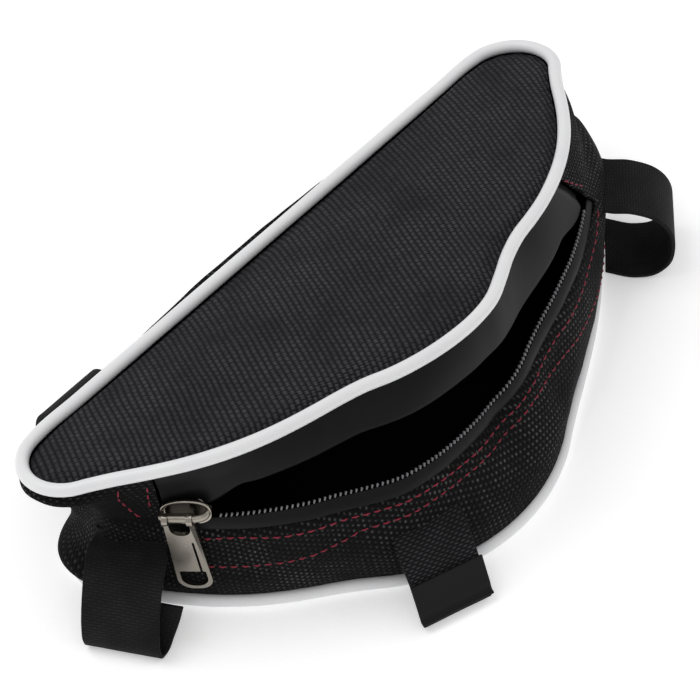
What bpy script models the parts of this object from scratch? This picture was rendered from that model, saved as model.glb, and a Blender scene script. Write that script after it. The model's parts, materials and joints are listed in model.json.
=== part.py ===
"""Half-moon zip bag for a motorcycle crash bar, lying on its back panel.

The straight side faces +Y and the curved zip side faces -Y. The front panel is on top, lifted
along the open zip. Lengths are in metres and every piece is its own closed solid.
"""

import math

import bmesh
import bpy
from mathutils import Euler, Vector

# Running gap between pieces that are sewn or clipped together
SEAM_GAP = 0.0003

# Back panel and its seam outline, which is the centre line of the back piping
BACK_LENGTH = 0.250
BACK_DEPTH = 0.1066
BACK_TIP_RADII = (0.017, 0.020)
BACK_APEX_RADIUS = 0.073
BACK_APEX_SHIFT = -0.017
BACK_BOW = 0.0045
BACK_SHIFT_X = 0.010

# Front panel and its seam outline, which is the centre line of the front piping
FRONT_LENGTH = 0.2487
FRONT_DEPTH = 0.086
FRONT_TIP_RADII = (0.0161, 0.0161)
FRONT_APEX_RADIUS = 0.080
FRONT_APEX_SHIFT = 0.0
FRONT_BOW = 0.0072
FRONT_SHIFT_X = 0.0013
FRONT_SHIFT_Y = 0.0087
FRONT_HEIGHT = 0.0487
FRONT_LIFT = 0.0224
FRONT_DOME = 0.003

# Sewn sheets
PANEL_THICKNESS = 0.0018
GUSSET_THICKNESS = 0.0015
GUSSET_BULGE = 0.003
PIPING_DIAMETER = 0.0044

# Zip
TAPE_THICKNESS = 0.0008
UPPER_TAPE_WIDTH = 0.012
LOWER_TAPE_WIDTH = 0.005
LIP_HEIGHT = 0.036
LIP_INSET = 0.018
COIL_WIDTH = 0.0024
COIL_THICKNESS = 0.0014
ZIP_LEFT_SHARE = -0.915
ZIP_RIGHT_SHARE = 0.65
SLIDER_LENGTH = 0.0155
SLIDER_WIDTH = 0.0100
SLIDER_THICKNESS = 0.0046
SLIDER_SLOT = 0.0022
SLIDER_SIDES = 20
SLIDER_CLEAR = 0.0012
POST_WIDTH = 0.0016
BRIDGE_SPAN = 0.0110
BRIDGE_RISE = 0.0027
BRIDGE_RADIUS = 0.0010
PULL_LENGTH = 0.0325
PULL_WIDTH = 0.0115
PULL_THICKNESS = 0.0014
PULL_BORE = 0.0013
PULL_WALL = 0.0010
PULL_RIM = 0.0016
PULL_SKEW = -2.0
BRIDGE_SHIFT = -0.0010
PULL_CLEAR = 0.0006
WINDOW_LENGTH = 0.0070
KNUCKLE_WIDTH = 0.0026

# Webbing
STRAP_WIDTH = 0.025
STRAP_THICKNESS = 0.0015
STRAP_REACH = 0.020
STRAP_HEIGHT = 0.024
STRAP_GAP = 0.0005
PATCH_THICKNESS = 0.0010
PATCH_WIDTH = 0.0262

# Steps along each stretch of a seam outline
TIP_STEPS = 8
SIDE_STEPS = 11
APEX_STEPS = 4
BASE_STEPS = 12

# Lip of the gusset below the zip: place along the curved side as a share of half the bag's
# length, height as a share of LIP_HEIGHT and inset from the back seam as a share of LIP_INSET
# Columns: x_share, height_share, inset_share, bulge_share
LIP_TABLE = (
    (-1.00, 0.98, 0.08, -0.30),
    (-0.92, 0.88, 0.22, 0.00),
    (-0.84, 0.94, 0.22, 0.30),
    (-0.66, 1.05, 0.08, 0.80),
    (-0.54, 1.05, 0.20, 1.00),
    (-0.46, 1.03, 0.40, 1.00),
    (-0.31, 0.98, 0.76, 1.00),
    (-0.08, 0.92, 1.00, 1.00),
    (0.14, 0.99, 0.73, 1.00),
    (0.31, 1.03, 0.46, 1.00),
    (0.48, 1.05, 0.28, 1.00),
    (0.64, 1.06, 0.19, 0.90),
    (0.88, 1.06, 0.28, 0.20),
    (1.00, 1.00, 0.46, -0.30),
)

# Upper tape: place along the curved side and width as a share of UPPER_TAPE_WIDTH
# Columns: x_share, width_share
TAPE_TABLE = (
    (-0.92, 1.00),
    (-0.60, 1.15),
    (-0.20, 1.25),
    (0.10, 1.40),
    (0.40, 1.60),
    (0.65, 1.50),
)

# How far the front seam's stations run ahead of the back seam's, by share of the curved side
# Columns: ring_share, stations
TWIST_TABLE = (
    (0.00, 0.0),
    (0.17, 0.0),
    (0.22, 0.4),
    (0.35, 0.0),
    (0.45, 0.0),
    (0.58, -1.4),
    (0.70, -3.2),
    (0.80, -2.4),
    (0.92, 0.0),
)

# Waves pressed into the front seam: place as a share of half the length, reach along the
# seam as the same share, and push inwards as a share of FRONT_DEPTH
# Columns: x_share, reach_share, push_share
WAVE_TABLE = (
    (0.24, 0.12, 0.045),
)

# Webbing routes: distance out from the wall as a share of the strap's reach, height as a
# share of the height where it leaves the wall, and drift along the wall as a share of
# STRAP_WIDTH. A closed loop is sewn down at both ends.
# Columns: out_share, height_share, drift_share
CURLED_ROUTE = (
    (0.10, 1.00, 0.00),
    (0.42, 0.90, 0.02),
    (0.78, 0.66, 0.05),
    (0.97, 0.38, 0.08),
    (1.00, 0.16, 0.10),
    (0.93, 0.03, 0.12),
    (0.80, 0.03, 0.16),
    (0.66, 0.16, 0.20),
    (0.56, 0.40, 0.26),
    (0.50, 0.60, 0.30),
)
FLAP_ROUTE = (
    (0.05, 1.00, 0.00),
    (0.22, 0.86, 0.00),
    (0.50, 0.55, 0.00),
    (0.76, 0.22, 0.00),
    (0.90, 0.07, 0.00),
    (1.00, 0.05, 0.00),
)
LOOP_ROUTE = (
    (0.10, 1.00, 0.00),
    (0.45, 0.99, 0.00),
    (0.78, 0.88, 0.00),
    (0.97, 0.66, 0.00),
    (1.00, 0.42, 0.00),
    (0.93, 0.20, 0.00),
    (0.74, 0.06, 0.00),
    (0.45, 0.01, 0.00),
    (0.12, 0.01, 0.00),
)

# Straps: place on the seam as a share of half the length (or, before the zip, as a share of
# STRAP_WIDTH back from the zip's left end), side of the bag, turn in degrees away from square
# to the seam, reach out from the wall as a share of STRAP_REACH, and height where it leaves
# the wall as a share of STRAP_HEIGHT
# Columns: name, place, side, turn, reach_share, height_share, route
STRAP_TABLE = (
    ("strap_left", 0.46, "before zip", -7.0, 1.00, 1.00, CURLED_ROUTE),
    ("strap_front", -0.42, "curved", 10.0, 0.75, 0.96, FLAP_ROUTE),
    ("strap_right", 0.763, "curved", 0.0, 1.23, 1.29, LOOP_ROUTE),
    ("strap_back", -0.70, "straight", 0.0, 1.15, 1.33, LOOP_ROUTE),
)
SEWN_LENGTH = 0.006
STRAP_COLUMNS_ACROSS = 6
HUG_REACH = 0.6
PATCH_START = 0.46

# Material name: colour, roughness, metallic
MATERIALS = {
    "woven_black": ((0.020, 0.020, 0.022), 0.85, 0.0),
    "webbing_black": ((0.012, 0.012, 0.013), 0.80, 0.0),
    "tape_black": ((0.025, 0.025, 0.026), 0.70, 0.0),
    "piping_white": ((0.80, 0.80, 0.78), 0.45, 0.0),
    "coil_black": ((0.03, 0.03, 0.03), 0.40, 0.0),
    "slider_metal": ((0.30, 0.28, 0.26), 0.25, 1.0),
}


def clear_scene():
    """Remove every object that the scene starts with."""
    for item in list(bpy.data.objects):
        bpy.data.objects.remove(item, do_unlink=True)


def make_material(name):
    """Return the named material, made on its first use."""
    material = bpy.data.materials.get(name)
    if material is None:
        colour, roughness, metallic = MATERIALS[name]
        material = bpy.data.materials.new(name)
        material.use_nodes = True
        shader = material.node_tree.nodes["Principled BSDF"]
        shader.inputs["Base Color"].default_value = (*colour, 1.0)
        shader.inputs["Roughness"].default_value = roughness
        shader.inputs["Metallic"].default_value = metallic
    return material


def add_object(name, bm, material, parent):
    """Turn a bmesh into a named object with its material."""
    bmesh.ops.recalc_face_normals(bm, faces=bm.faces)
    mesh = bpy.data.meshes.new(name)
    bm.to_mesh(mesh)
    bm.free()
    mesh.shade_smooth()
    mesh.set_sharp_from_angle(angle=math.radians(40))
    item = bpy.data.objects.new(name, mesh)
    item.data.materials.append(make_material(material))
    item.parent = parent
    bpy.context.collection.objects.link(item)
    return item


def smooth_step(share):
    """Ease from 0 to 1."""
    share = min(max(share, 0.0), 1.0)
    return share * share * (3 - 2 * share)


def from_table(table, key, column):
    """Read a column of a table whose first column rises, with straight lines between rows."""
    if key <= table[0][0]:
        return table[0][column]
    for low, high in zip(table, table[1:]):
        if key <= high[0]:
            share = (key - low[0]) / (high[0] - low[0])
            return low[column] + (high[column] - low[column]) * share
    return table[-1][column]


def outline(length, depth, tip_radii, apex_radius, apex_shift, bow):
    """Rounded triangle from above, anticlockwise from the left end of its straight side."""
    left = half_outline(length, depth, tip_radii[0], apex_radius, apex_shift, bow)
    right = half_outline(length, depth, tip_radii[1], apex_radius, -apex_shift, bow)
    other = [Vector((-point.x, point.y)) for point in reversed(right[:-1])]
    base = [other[-1].lerp(left[0], step / BASE_STEPS) for step in range(1, BASE_STEPS)]
    return left + other + base


def half_outline(length, depth, tip_radius, apex_radius, apex_shift, bow):
    """Left tip, bowed left side and left half of the apex of an outline."""
    tip_x = length / 2 - tip_radius
    run = tip_x + apex_shift
    rise = apex_radius - depth + tip_radius
    lean = math.asin((apex_radius - tip_radius) / math.hypot(run, rise))
    side_angle = math.atan2(rise, run) + 1.5 * math.pi - lean
    out = Vector((math.cos(side_angle), math.sin(side_angle)))
    apex_centre = Vector((apex_shift, apex_radius - depth))
    points = []
    for step in range(TIP_STEPS + 1):
        angle = math.pi / 2 + (side_angle - math.pi / 2) * step / TIP_STEPS
        arm = Vector((math.cos(angle), math.sin(angle))) * tip_radius
        points.append(Vector((-tip_x, -tip_radius)) + arm)
    side_start = points[-1]
    side_end = apex_centre + out * apex_radius
    for step in range(1, SIDE_STEPS):
        share = step / SIDE_STEPS
        swell = bow * (4 * share * (1 - share)) ** 1.4
        points.append(side_start.lerp(side_end, share) + out * swell)
    for step in range(APEX_STEPS + 1):
        angle = side_angle + (1.5 * math.pi - side_angle) * step / APEX_STEPS
        arm = Vector((math.cos(angle), math.sin(angle))) * apex_radius
        points.append(apex_centre + arm)
    return points


def outward(ring):
    """Unit vectors that point out of an anticlockwise ring, seen from above."""
    count = len(ring)
    result = []
    for index in range(count):
        along = ring[(index + 1) % count] - ring[index - 1]
        result.append(Vector((along.y, -along.x)).normalized())
    return result


def at(ring, station):
    """Point of a closed ring at a station that may lie between two of its points."""
    low = math.floor(station)
    return ring[low % len(ring)].lerp(ring[(low + 1) % len(ring)], station - low)


def walk(ring, station, distance):
    """Station that lies a distance further along a closed ring."""
    step = 1 if distance > 0 else -1
    left = abs(distance)
    while left > 0:
        edge = math.floor(station) if step > 0 else math.ceil(station) - 1
        stop = edge + 1 if step > 0 else edge
        span = (ring[(edge + 1) % len(ring)] - ring[edge % len(ring)]).length
        room = abs(stop - station) * span
        if room >= left:
            return station + step * left / span
        left -= room
        station = stop
    return station


class BagShape:
    """Rings of points that every piece of the bag takes its place from."""

    def __init__(self):
        plan = outline(
            BACK_LENGTH, BACK_DEPTH, BACK_TIP_RADII, BACK_APEX_RADIUS, BACK_APEX_SHIFT, BACK_BOW
        )
        self.count = len(plan)
        self.apex = TIP_STEPS + SIDE_STEPS + APEX_STEPS
        self.back_out = [Vector((*out, 0.0)) for out in outward(plan)]
        self.back = [Vector((p.x + BACK_SHIFT_X, p.y, PIPING_DIAMETER / 2)) for p in plan]
        front = outline(
            FRONT_LENGTH, FRONT_DEPTH, FRONT_TIP_RADII, FRONT_APEX_RADIUS, FRONT_APEX_SHIFT, FRONT_BOW
        )
        front = self.press_waves(front)
        self.front_out = [Vector((*out, 0.0)) for out in outward(front)]
        self.front = [
            Vector((p.x + FRONT_SHIFT_X, p.y + FRONT_SHIFT_Y, self.front_height(p.y)))
            for p in front
        ]
        drop = PIPING_DIAMETER / 2 + SEAM_GAP
        self.bulge = []
        self.foot = []
        self.lip = []
        self.head = []
        for index, point in enumerate(self.back):
            out = self.back_out[index]
            ahead = index + from_table(TWIST_TABLE, index / (2 * self.apex), 1)
            head = at(self.front, ahead) + at(self.front_out, ahead) * SEAM_GAP
            head.z -= drop
            foot = point + out * SEAM_GAP + Vector((0, 0, drop))
            key = plan[index].x / (BACK_LENGTH / 2)
            zip_lip = point - out * LIP_INSET * from_table(LIP_TABLE, key, 2)
            zip_lip.z = LIP_HEIGHT * from_table(LIP_TABLE, key, 1)
            waist = foot.lerp(head, 0.5)
            ease = smooth_step(-plan[index].y / BACK_TIP_RADII[0])
            self.bulge.append(out * GUSSET_BULGE * from_table(LIP_TABLE, key, 3))
            self.foot.append(foot)
            self.lip.append(waist.lerp(zip_lip, ease))
            self.head.append(head)
        self.tape = [from_table(TAPE_TABLE, p.x / (BACK_LENGTH / 2), 1) for p in plan]
        self.zip_left = round(self.station(ZIP_LEFT_SHARE, "curved"))
        self.zip_right = round(self.station(ZIP_RIGHT_SHARE, "curved"))

    def press_waves(self, plan):
        """Push the curved side of the front seam inwards where the table says."""
        result = []
        for point, out in zip(plan, outward(plan)):
            push = 0.0
            if point.y < -FRONT_TIP_RADII[0]:
                for place, reach, depth in WAVE_TABLE:
                    away = (point.x / (FRONT_LENGTH / 2) - place) / reach
                    push += depth * FRONT_DEPTH * math.exp(-away * away)
            result.append(point - out * push)
        return result

    def front_height(self, plan_y):
        """Height of the front seam's plane, which rises towards the curved side."""
        return FRONT_HEIGHT + FRONT_LIFT * (-plan_y / FRONT_DEPTH)

    def station(self, x_share, side):
        """Station of the back seam at a share of half the bag's length."""
        if side == "before zip":
            return walk(self.back, float(self.zip_left), -x_share * STRAP_WIDTH)
        want = BACK_SHIFT_X + x_share * BACK_LENGTH / 2
        first = TIP_STEPS // 2
        last = 2 * self.apex - TIP_STEPS // 2
        if side == "straight":
            first = 2 * self.apex
            last = self.count
        for index in range(first, last):
            low = self.back[index % self.count].x
            high = self.back[(index + 1) % self.count].x
            if min(low, high) <= want <= max(low, high):
                return index + (want - low) / (high - low)
        return float(first)

    def low_wall(self, index, share):
        """Point on the gusset between its foot and its lip."""
        bulge = self.bulge[index] * math.sin(math.pi * share)
        return self.foot[index].lerp(self.lip[index], share) + bulge

    def high_wall(self, index, share):
        """Point on the gusset between its lip and the front seam."""
        bulge = self.bulge[index] * 0.5 * math.sin(math.pi * share)
        return self.lip[index].lerp(self.head[index], share) + bulge

    def wall(self, station, height):
        """Point on the gusset's outer face at a station and height."""
        ends = []
        for index in (math.floor(station) % self.count, (math.floor(station) + 1) % self.count):
            foot = self.foot[index].z
            lip = self.lip[index].z
            if height < lip:
                ends.append(self.low_wall(index, max(0.0, (height - foot) / (lip - foot))))
            else:
                share = (height - lip) / (self.head[index].z - lip)
                ends.append(self.high_wall(index, min(1.0, share)))
        return ends[0].lerp(ends[1], station - math.floor(station))

    def upper_tape(self, station):
        """Width of the upper tape at a station, kept clear of the lower tape."""
        low = self.tape[math.floor(station) % self.count]
        high = self.tape[(math.floor(station) + 1) % self.count]
        share = low + (high - low) * (station - math.floor(station))
        room = (at(self.head, station) - at(self.lip, station)).length
        most = room - LOWER_TAPE_WIDTH - COIL_WIDTH * 2 - SEAM_GAP * 6
        return min(UPPER_TAPE_WIDTH * share, most)

    def zip_slope(self, station):
        """Unit vector up the zip tape, from the gusset's lip to the front seam."""
        return (at(self.head, station) - at(self.lip, station)).normalized()


def shell_object(name, outer, inner, material, parent, closed=False, skip=None):
    """Closed sheet between two grids of points, with its open edges walled."""
    across = len(outer[0])
    faces = []
    for low in range(len(outer) - 1):
        for index in range(across if closed else across - 1):
            if skip and skip(low, index):
                continue
            right = (index + 1) % across
            faces.append(((low, index), (low, right), (low + 1, right), (low + 1, index)))
    edges = {(face[i - 1], face[i]) for face in faces for i in range(4)}
    used = {key for face in faces for key in face}
    bm = bmesh.new()
    front = {key: bm.verts.new(outer[key[0]][key[1]]) for key in used}
    rear = {key: bm.verts.new(inner[key[0]][key[1]]) for key in used}
    for face in faces:
        bm.faces.new([front[key] for key in face])
        bm.faces.new([rear[key] for key in reversed(face)])
    for start, stop in edges:
        if (stop, start) not in edges:
            bm.faces.new((front[stop], front[start], rear[start], rear[stop]))
    return add_object(name, bm, material, parent)


def sheet_sides(rows, thickness, share_out):
    """Outer and inner grids of a sheet, its thickness split about the given grid."""
    outer = []
    inner = []
    for low, row in enumerate(rows):
        above = rows[min(low + 1, len(rows) - 1)]
        below = rows[max(low - 1, 0)]
        outer.append([])
        inner.append([])
        for index, point in enumerate(row):
            right = row[min(index + 1, len(row) - 1)]
            left = row[max(index - 1, 0)]
            normal = (right - left).cross(above[index] - below[index]).normalized()
            outer[-1].append(point + normal * thickness * share_out)
            inner[-1].append(point - normal * thickness * (1 - share_out))
    return outer, inner


def tube_loop(bm, ring, radius, sides):
    """Closed round tube along a closed ring."""
    count = len(ring)
    sections = []
    for index in range(count):
        along = (ring[(index + 1) % count] - ring[index - 1]).normalized()
        side = along.cross(Vector((0, 0, 1))).normalized()
        up = side.cross(along)
        section = []
        for step in range(sides):
            angle = 2 * math.pi * (step + 0.5) / sides
            arm = (side * math.cos(angle) + up * math.sin(angle)) * radius
            section.append(bm.verts.new(ring[index] + arm))
        sections.append(section)
    for index in range(count):
        bridge_sections(bm, sections[index], sections[(index + 1) % count])


def bridge_sections(bm, low, high):
    """Quads between two closed sections with as many points each."""
    count = len(low)
    for step in range(count):
        right = (step + 1) % count
        bm.faces.new((low[step], low[right], high[right], high[step]))


def tube_run(bm, points, radius, sides, side):
    """Round tube with capped ends along an open run of points in one plane."""
    sections = []
    for index, point in enumerate(points):
        ahead = points[min(index + 1, len(points) - 1)]
        behind = points[max(index - 1, 0)]
        along = (ahead - behind).normalized()
        up = along.cross(side).normalized()
        section = []
        for step in range(sides):
            angle = 2 * math.pi * (step + 0.5) / sides
            section.append(bm.verts.new(point + (side * math.cos(angle) + up * math.sin(angle)) * radius))
        sections.append(section)
    for low, high in zip(sections, sections[1:]):
        bridge_sections(bm, low, high)
    bm.faces.new(list(reversed(sections[0])))
    bm.faces.new(sections[-1])


def make_piping(shape, parent):
    """White round piping along both seams."""
    for name, ring in (("back_piping", shape.back), ("front_piping", shape.front)):
        bm = bmesh.new()
        tube_loop(bm, ring, PIPING_DIAMETER / 2, 8)
        add_object(name, bm, "piping_white", parent)


def make_back_panel(shape, parent):
    """Flat panel that the bag lies on."""
    inset = PIPING_DIAMETER / 2 + SEAM_GAP
    edge = [point - out * inset for point, out in zip(shape.back, shape.back_out)]
    middle = Vector((BACK_SHIFT_X, -BACK_DEPTH * 0.4, 0.0))
    rows = []
    for share in (1.0, 0.5):
        rows.append([middle.lerp(Vector((p.x, p.y, 0.0)), share) for p in edge])
    bm = bmesh.new()
    levels = []
    for height in (0.0, PANEL_THICKNESS):
        levels.append([[bm.verts.new(point + Vector((0, 0, height))) for point in row] for row in rows])
    for level in levels:
        bridge_sections(bm, level[0], level[1])
        centre = bm.verts.new(middle + Vector((0, 0, level[0][0].co.z)))
        for index in range(shape.count):
            bm.faces.new((level[1][index], level[1][(index + 1) % shape.count], centre))
    bridge_sections(bm, levels[0][0], levels[1][0])
    add_object("back_panel", bm, "woven_black", parent)


def make_front_panel(shape, parent):
    """Top panel, domed a little and following the lifted front seam."""
    inset = PIPING_DIAMETER / 2 + SEAM_GAP
    edge = [point - out * inset for point, out in zip(shape.front, shape.front_out)]
    middle_y = -FRONT_DEPTH * 0.4
    middle = Vector((FRONT_SHIFT_X, middle_y + FRONT_SHIFT_Y, shape.front_height(middle_y)))
    rows = []
    for share in (1.0, 0.9, 0.72, 0.5, 0.25):
        dome = Vector((0, 0, FRONT_DOME * (1 - share * share)))
        rows.append([middle.lerp(point, share) + dome for point in edge])
    bm = bmesh.new()
    levels = []
    for height in (-PANEL_THICKNESS / 2, PANEL_THICKNESS / 2):
        levels.append([[bm.verts.new(point + Vector((0, 0, height))) for point in row] for row in rows])
        centre = bm.verts.new(middle + Vector((0, 0, FRONT_DOME + height)))
        for low, high in zip(levels[-1], levels[-1][1:]):
            bridge_sections(bm, low, high)
        for index in range(shape.count):
            inner = levels[-1][-1]
            bm.faces.new((inner[index], inner[(index + 1) % shape.count], centre))
    bridge_sections(bm, levels[0][0], levels[1][0])
    add_object("front_panel", bm, "woven_black", parent)


def make_gusset(shape, parent):
    """Side wall all round, cut down to its lip between the ends of the zip."""
    low_shares = (0.0, 0.25, 0.5, 0.75, 1.0)
    high_shares = (0.34, 0.67, 1.0)
    rows = [[shape.low_wall(i, share) for i in range(shape.count)] for share in low_shares]
    rows += [[shape.high_wall(i, share) for i in range(shape.count)] for share in high_shares]

    def in_window(row, index):
        return row >= len(low_shares) - 1 and shape.zip_left <= index < shape.zip_right

    inner = [
        [point - out * GUSSET_THICKNESS for point, out in zip(row, shape.back_out)] for row in rows
    ]
    shell_object("gusset", rows, inner, "woven_black", parent, closed=True, skip=in_window)


def level_inset(shape, rows, stations, distance):
    """Rows moved level towards the inside of the bag."""
    return [
        [point - at(shape.back_out, station) * distance for point, station in zip(row, stations)]
        for row in rows
    ]


def zip_stations(shape):
    """Stations of the tapes, just clear of both ends of the zip window."""
    start = walk(shape.head, float(shape.zip_left), 2 * SEAM_GAP)
    stop = walk(shape.head, float(shape.zip_right), -2 * SEAM_GAP)
    middle = [float(index) for index in range(shape.zip_left + 1, shape.zip_right)]
    return [start] + middle + [stop]


def make_tapes(shape, parent):
    """Upper tape hanging from the front seam and lower tape standing on the gusset's lip."""
    upper = [[], [], []]
    lower = [[], []]
    stations = zip_stations(shape)
    for station in stations:
        slope = shape.zip_slope(station)
        head = at(shape.head, station)
        lip = at(shape.lip, station) + slope * SEAM_GAP
        for row, share in enumerate((1.0, 0.5, 0.0)):
            upper[row].append(head - slope * shape.upper_tape(station) * share)
        for row, share in enumerate((0.0, 1.0)):
            lower[row].append(lip + slope * LOWER_TAPE_WIDTH * share)
    for name, rows in (("zip_tape_upper", upper), ("zip_tape_lower", lower)):
        inner = level_inset(shape, rows, stations, TAPE_THICKNESS)
        shell_object(name, rows, inner, "tape_black", parent)


def slider_frame(shape):
    """Centre and unit vectors of the slider: along the zip, up the tape and out of it."""
    station = walk(shape.lip, float(shape.zip_left), SLIDER_LENGTH / 2 + SLIDER_CLEAR)
    slope = shape.zip_slope(station)
    low = at(shape.lip, station) + slope * (SEAM_GAP + LOWER_TAPE_WIDTH)
    high = at(shape.head, station) - slope * shape.upper_tape(station)
    ahead = walk(shape.lip, station, SLIDER_LENGTH / 2)
    behind = walk(shape.lip, station, -SLIDER_LENGTH / 2)
    along = (at(shape.lip, ahead) - at(shape.lip, behind)).normalized()
    out = along.cross(slope).normalized()
    slope = out.cross(along)
    return low.lerp(high, 0.5) - out * TAPE_THICKNESS / 2, along, slope, out


def make_coils(shape, parent):
    """Rows of zip teeth along the edges of the tapes, from the slider to the far end."""
    start = walk(shape.lip, float(shape.zip_left), SLIDER_CLEAR + SLIDER_LENGTH + SEAM_GAP)
    stations = [s for s in zip_stations(shape) if s > start + 0.2]
    stations = [start] + stations
    for name, edge in (("zip_coil_lower", "low"), ("zip_coil_upper", "high")):
        rows = [[], []]
        for station in stations:
            slope = shape.zip_slope(station)
            if edge == "low":
                root = at(shape.lip, station) + slope * (2 * SEAM_GAP + LOWER_TAPE_WIDTH)
                ends = (root, root + slope * COIL_WIDTH)
            else:
                root = at(shape.head, station) - slope * (shape.upper_tape(station) + SEAM_GAP)
                ends = (root - slope * COIL_WIDTH, root)
            for row, point in zip(rows, ends):
                row.append(point)
        proud = (COIL_THICKNESS - TAPE_THICKNESS) / 2
        outer = level_inset(shape, rows, stations, -proud)
        inner = level_inset(shape, rows, stations, COIL_THICKNESS - proud)
        shell_object(name, outer, inner, "coil_black", parent)


def placed(item, centre, along, slope, out):
    """Give an object its place and its turn from three unit vectors."""
    matrix = item.matrix_local.copy()
    for column, axis in enumerate((along, slope, out)):
        for row in range(3):
            matrix[row][column] = axis[row]
    for row in range(3):
        matrix[row][3] = centre[row]
    item.matrix_local = matrix


def oval(length, width, height):
    """Points of an oval with round ends, in the plane at a height."""
    points = []
    for step in range(SLIDER_SIDES):
        angle = 2 * math.pi * (step + 0.5) / SLIDER_SIDES
        x = math.copysign(abs(math.cos(angle)) ** 0.7, math.cos(angle)) * length / 2
        y = math.copysign(abs(math.sin(angle)) ** 0.8, math.sin(angle)) * width / 2
        points.append(Vector((x, y, height)))
    return points


def make_slider(shape, parent):
    """Slider body: two plates joined by a post, with a bridge over the outer plate."""
    half = SLIDER_THICKNESS / 2
    slot = SLIDER_SLOT / 2
    post_length = SLIDER_LENGTH * 0.25
    levels = (
        (SLIDER_LENGTH * 0.92, SLIDER_WIDTH * 0.9, -half),
        (SLIDER_LENGTH, SLIDER_WIDTH, -slot),
        (post_length, POST_WIDTH, -slot),
        (post_length, POST_WIDTH, slot),
        (SLIDER_LENGTH, SLIDER_WIDTH, slot),
        (SLIDER_LENGTH * 0.92, SLIDER_WIDTH * 0.9, half),
    )
    bm = bmesh.new()
    sections = [[bm.verts.new(p) for p in oval(*level)] for level in levels]
    for low, high in zip(sections, sections[1:]):
        bridge_sections(bm, low, high)
    bm.faces.new(list(reversed(sections[0])))
    bm.faces.new(sections[-1])
    body = add_object("zip_slider", bm, "slider_metal", parent)
    leg = BRIDGE_SPAN / 2 + BRIDGE_RADIUS
    corner = BRIDGE_RADIUS
    rod = half + BRIDGE_RISE
    route = [
        Vector((-leg, 0, half - BRIDGE_RADIUS / 2)),
        Vector((-leg, 0, rod - corner)),
        Vector((-leg + corner * 0.3, 0, rod - corner * 0.3)),
        Vector((-leg + corner, 0, rod)),
    ]
    route += [Vector((-p.x, 0, p.z)) for p in reversed(route)]
    route = [p + Vector((BRIDGE_SHIFT, 0, 0)) for p in route]
    bridge_bm = bmesh.new()
    tube_run(bridge_bm, route, BRIDGE_RADIUS, 10, Vector((0, 1, 0)))
    bridge = add_object("bridge_tool", bridge_bm, "slider_metal", parent)
    bridge.hide_render = True
    bridge.display_type = "WIRE"
    union = body.modifiers.new("bridge", "BOOLEAN")
    union.operation = "UNION"
    union.object = bridge
    centre, along, slope, out = slider_frame(shape)
    placed(body, centre, along, slope, out)
    placed(bridge, centre, along, slope, out)


def pull_outline():
    """Outer edge and window of the pull seen flat, hanging from its hinge towards -Y."""
    top = -(PULL_BORE + PULL_WALL * 0.5)
    bottom = -(PULL_LENGTH - PULL_BORE - PULL_WALL)
    half = PULL_WIDTH / 2
    edge = [Vector((-half, top)), Vector((-half, bottom + half * 0.8))]
    for step in range(1, 8):
        angle = math.pi + math.pi * step / 8
        edge.append(Vector((math.cos(angle) * half, bottom + half * 0.8 + math.sin(angle) * half * 0.8)))
    edge += [Vector((half, bottom + half * 0.8)), Vector((half, top))]
    window_half = half - PULL_RIM
    window_top = bottom + WINDOW_LENGTH + PULL_RIM
    window = [Vector((-window_half, window_top)), Vector((-window_half, bottom + half * 0.8))]
    for step in range(1, 6):
        angle = math.pi + math.pi * step / 6
        reach = half * 0.8 - PULL_RIM
        window.append(Vector((math.cos(angle) * window_half, bottom + half * 0.8 + math.sin(angle) * reach)))
    window += [Vector((window_half, bottom + half * 0.8)), Vector((window_half, window_top))]
    return edge, window


def make_pull(shape, parent):
    """Pull tab: a plate with a window, its top rolled round the bridge in two knuckles."""
    edge, window = pull_outline()
    skew = math.tan(math.radians(PULL_SKEW))
    bm = bmesh.new()
    loops = []
    for loop in (edge, window):
        verts = [bm.verts.new((p.x - p.y * skew, p.y, -PULL_THICKNESS / 2)) for p in loop]
        loops += [bm.edges.new((verts[i], verts[i - 1])) for i in range(len(verts))]
    bmesh.ops.triangle_fill(bm, edges=loops, use_beauty=True, use_dissolve=False)
    extruded = bmesh.ops.extrude_face_region(bm, geom=list(bm.faces), use_keep_orig=True)
    moved = [g for g in extruded["geom"] if isinstance(g, bmesh.types.BMVert)]
    bmesh.ops.translate(bm, verts=moved, vec=(0, 0, PULL_THICKNESS))
    pull = add_object("zip_pull", bm, "slider_metal", parent)
    pieces = [pull]
    for side in (-1, 1):
        bm = bmesh.new()
        rings = []
        inner = -side * PULL_WIDTH * 0.45
        for x, radius in (
            (inner, PULL_BORE),
            (inner, PULL_BORE + PULL_WALL),
            (inner + side * KNUCKLE_WIDTH, PULL_BORE + PULL_WALL),
            (inner + side * KNUCKLE_WIDTH, PULL_BORE),
        ):
            ring = []
            for step in range(14):
                angle = 2 * math.pi * (step + 0.5) / 14
                ring.append(bm.verts.new((x, math.cos(angle) * radius, math.sin(angle) * radius)))
            rings.append(ring)
        for index in range(4):
            bridge_sections(bm, rings[index], rings[(index + 1) % 4])
        knuckle = add_object(f"knuckle_tool_{side + 2}", bm, "slider_metal", parent)
        knuckle.hide_render = True
        knuckle.display_type = "WIRE"
        union = pull.modifiers.new("knuckle", "BOOLEAN")
        union.operation = "UNION"
        union.object = knuckle
        pieces.append(knuckle)
    centre, along, slope, out = slider_frame(shape)
    hinge = centre + along * BRIDGE_SHIFT + out * (SLIDER_THICKNESS / 2 + BRIDGE_RISE)
    reach = PULL_LENGTH - PULL_BORE - PULL_WALL
    station = walk(shape.back, float(shape.zip_left), SLIDER_LENGTH / 2 + reach * skew)
    wall = shape.wall(station, hinge.z - reach * 0.92)
    stand_off = PULL_THICKNESS / 2 + PULL_CLEAR
    target = wall + at(shape.back_out, station) * stand_off
    down = target - hinge
    down = (down - along * down.dot(along)).normalized()
    for piece in pieces:
        placed(piece, hinge, along, -down, along.cross(-down))
    return hinge, along


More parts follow.
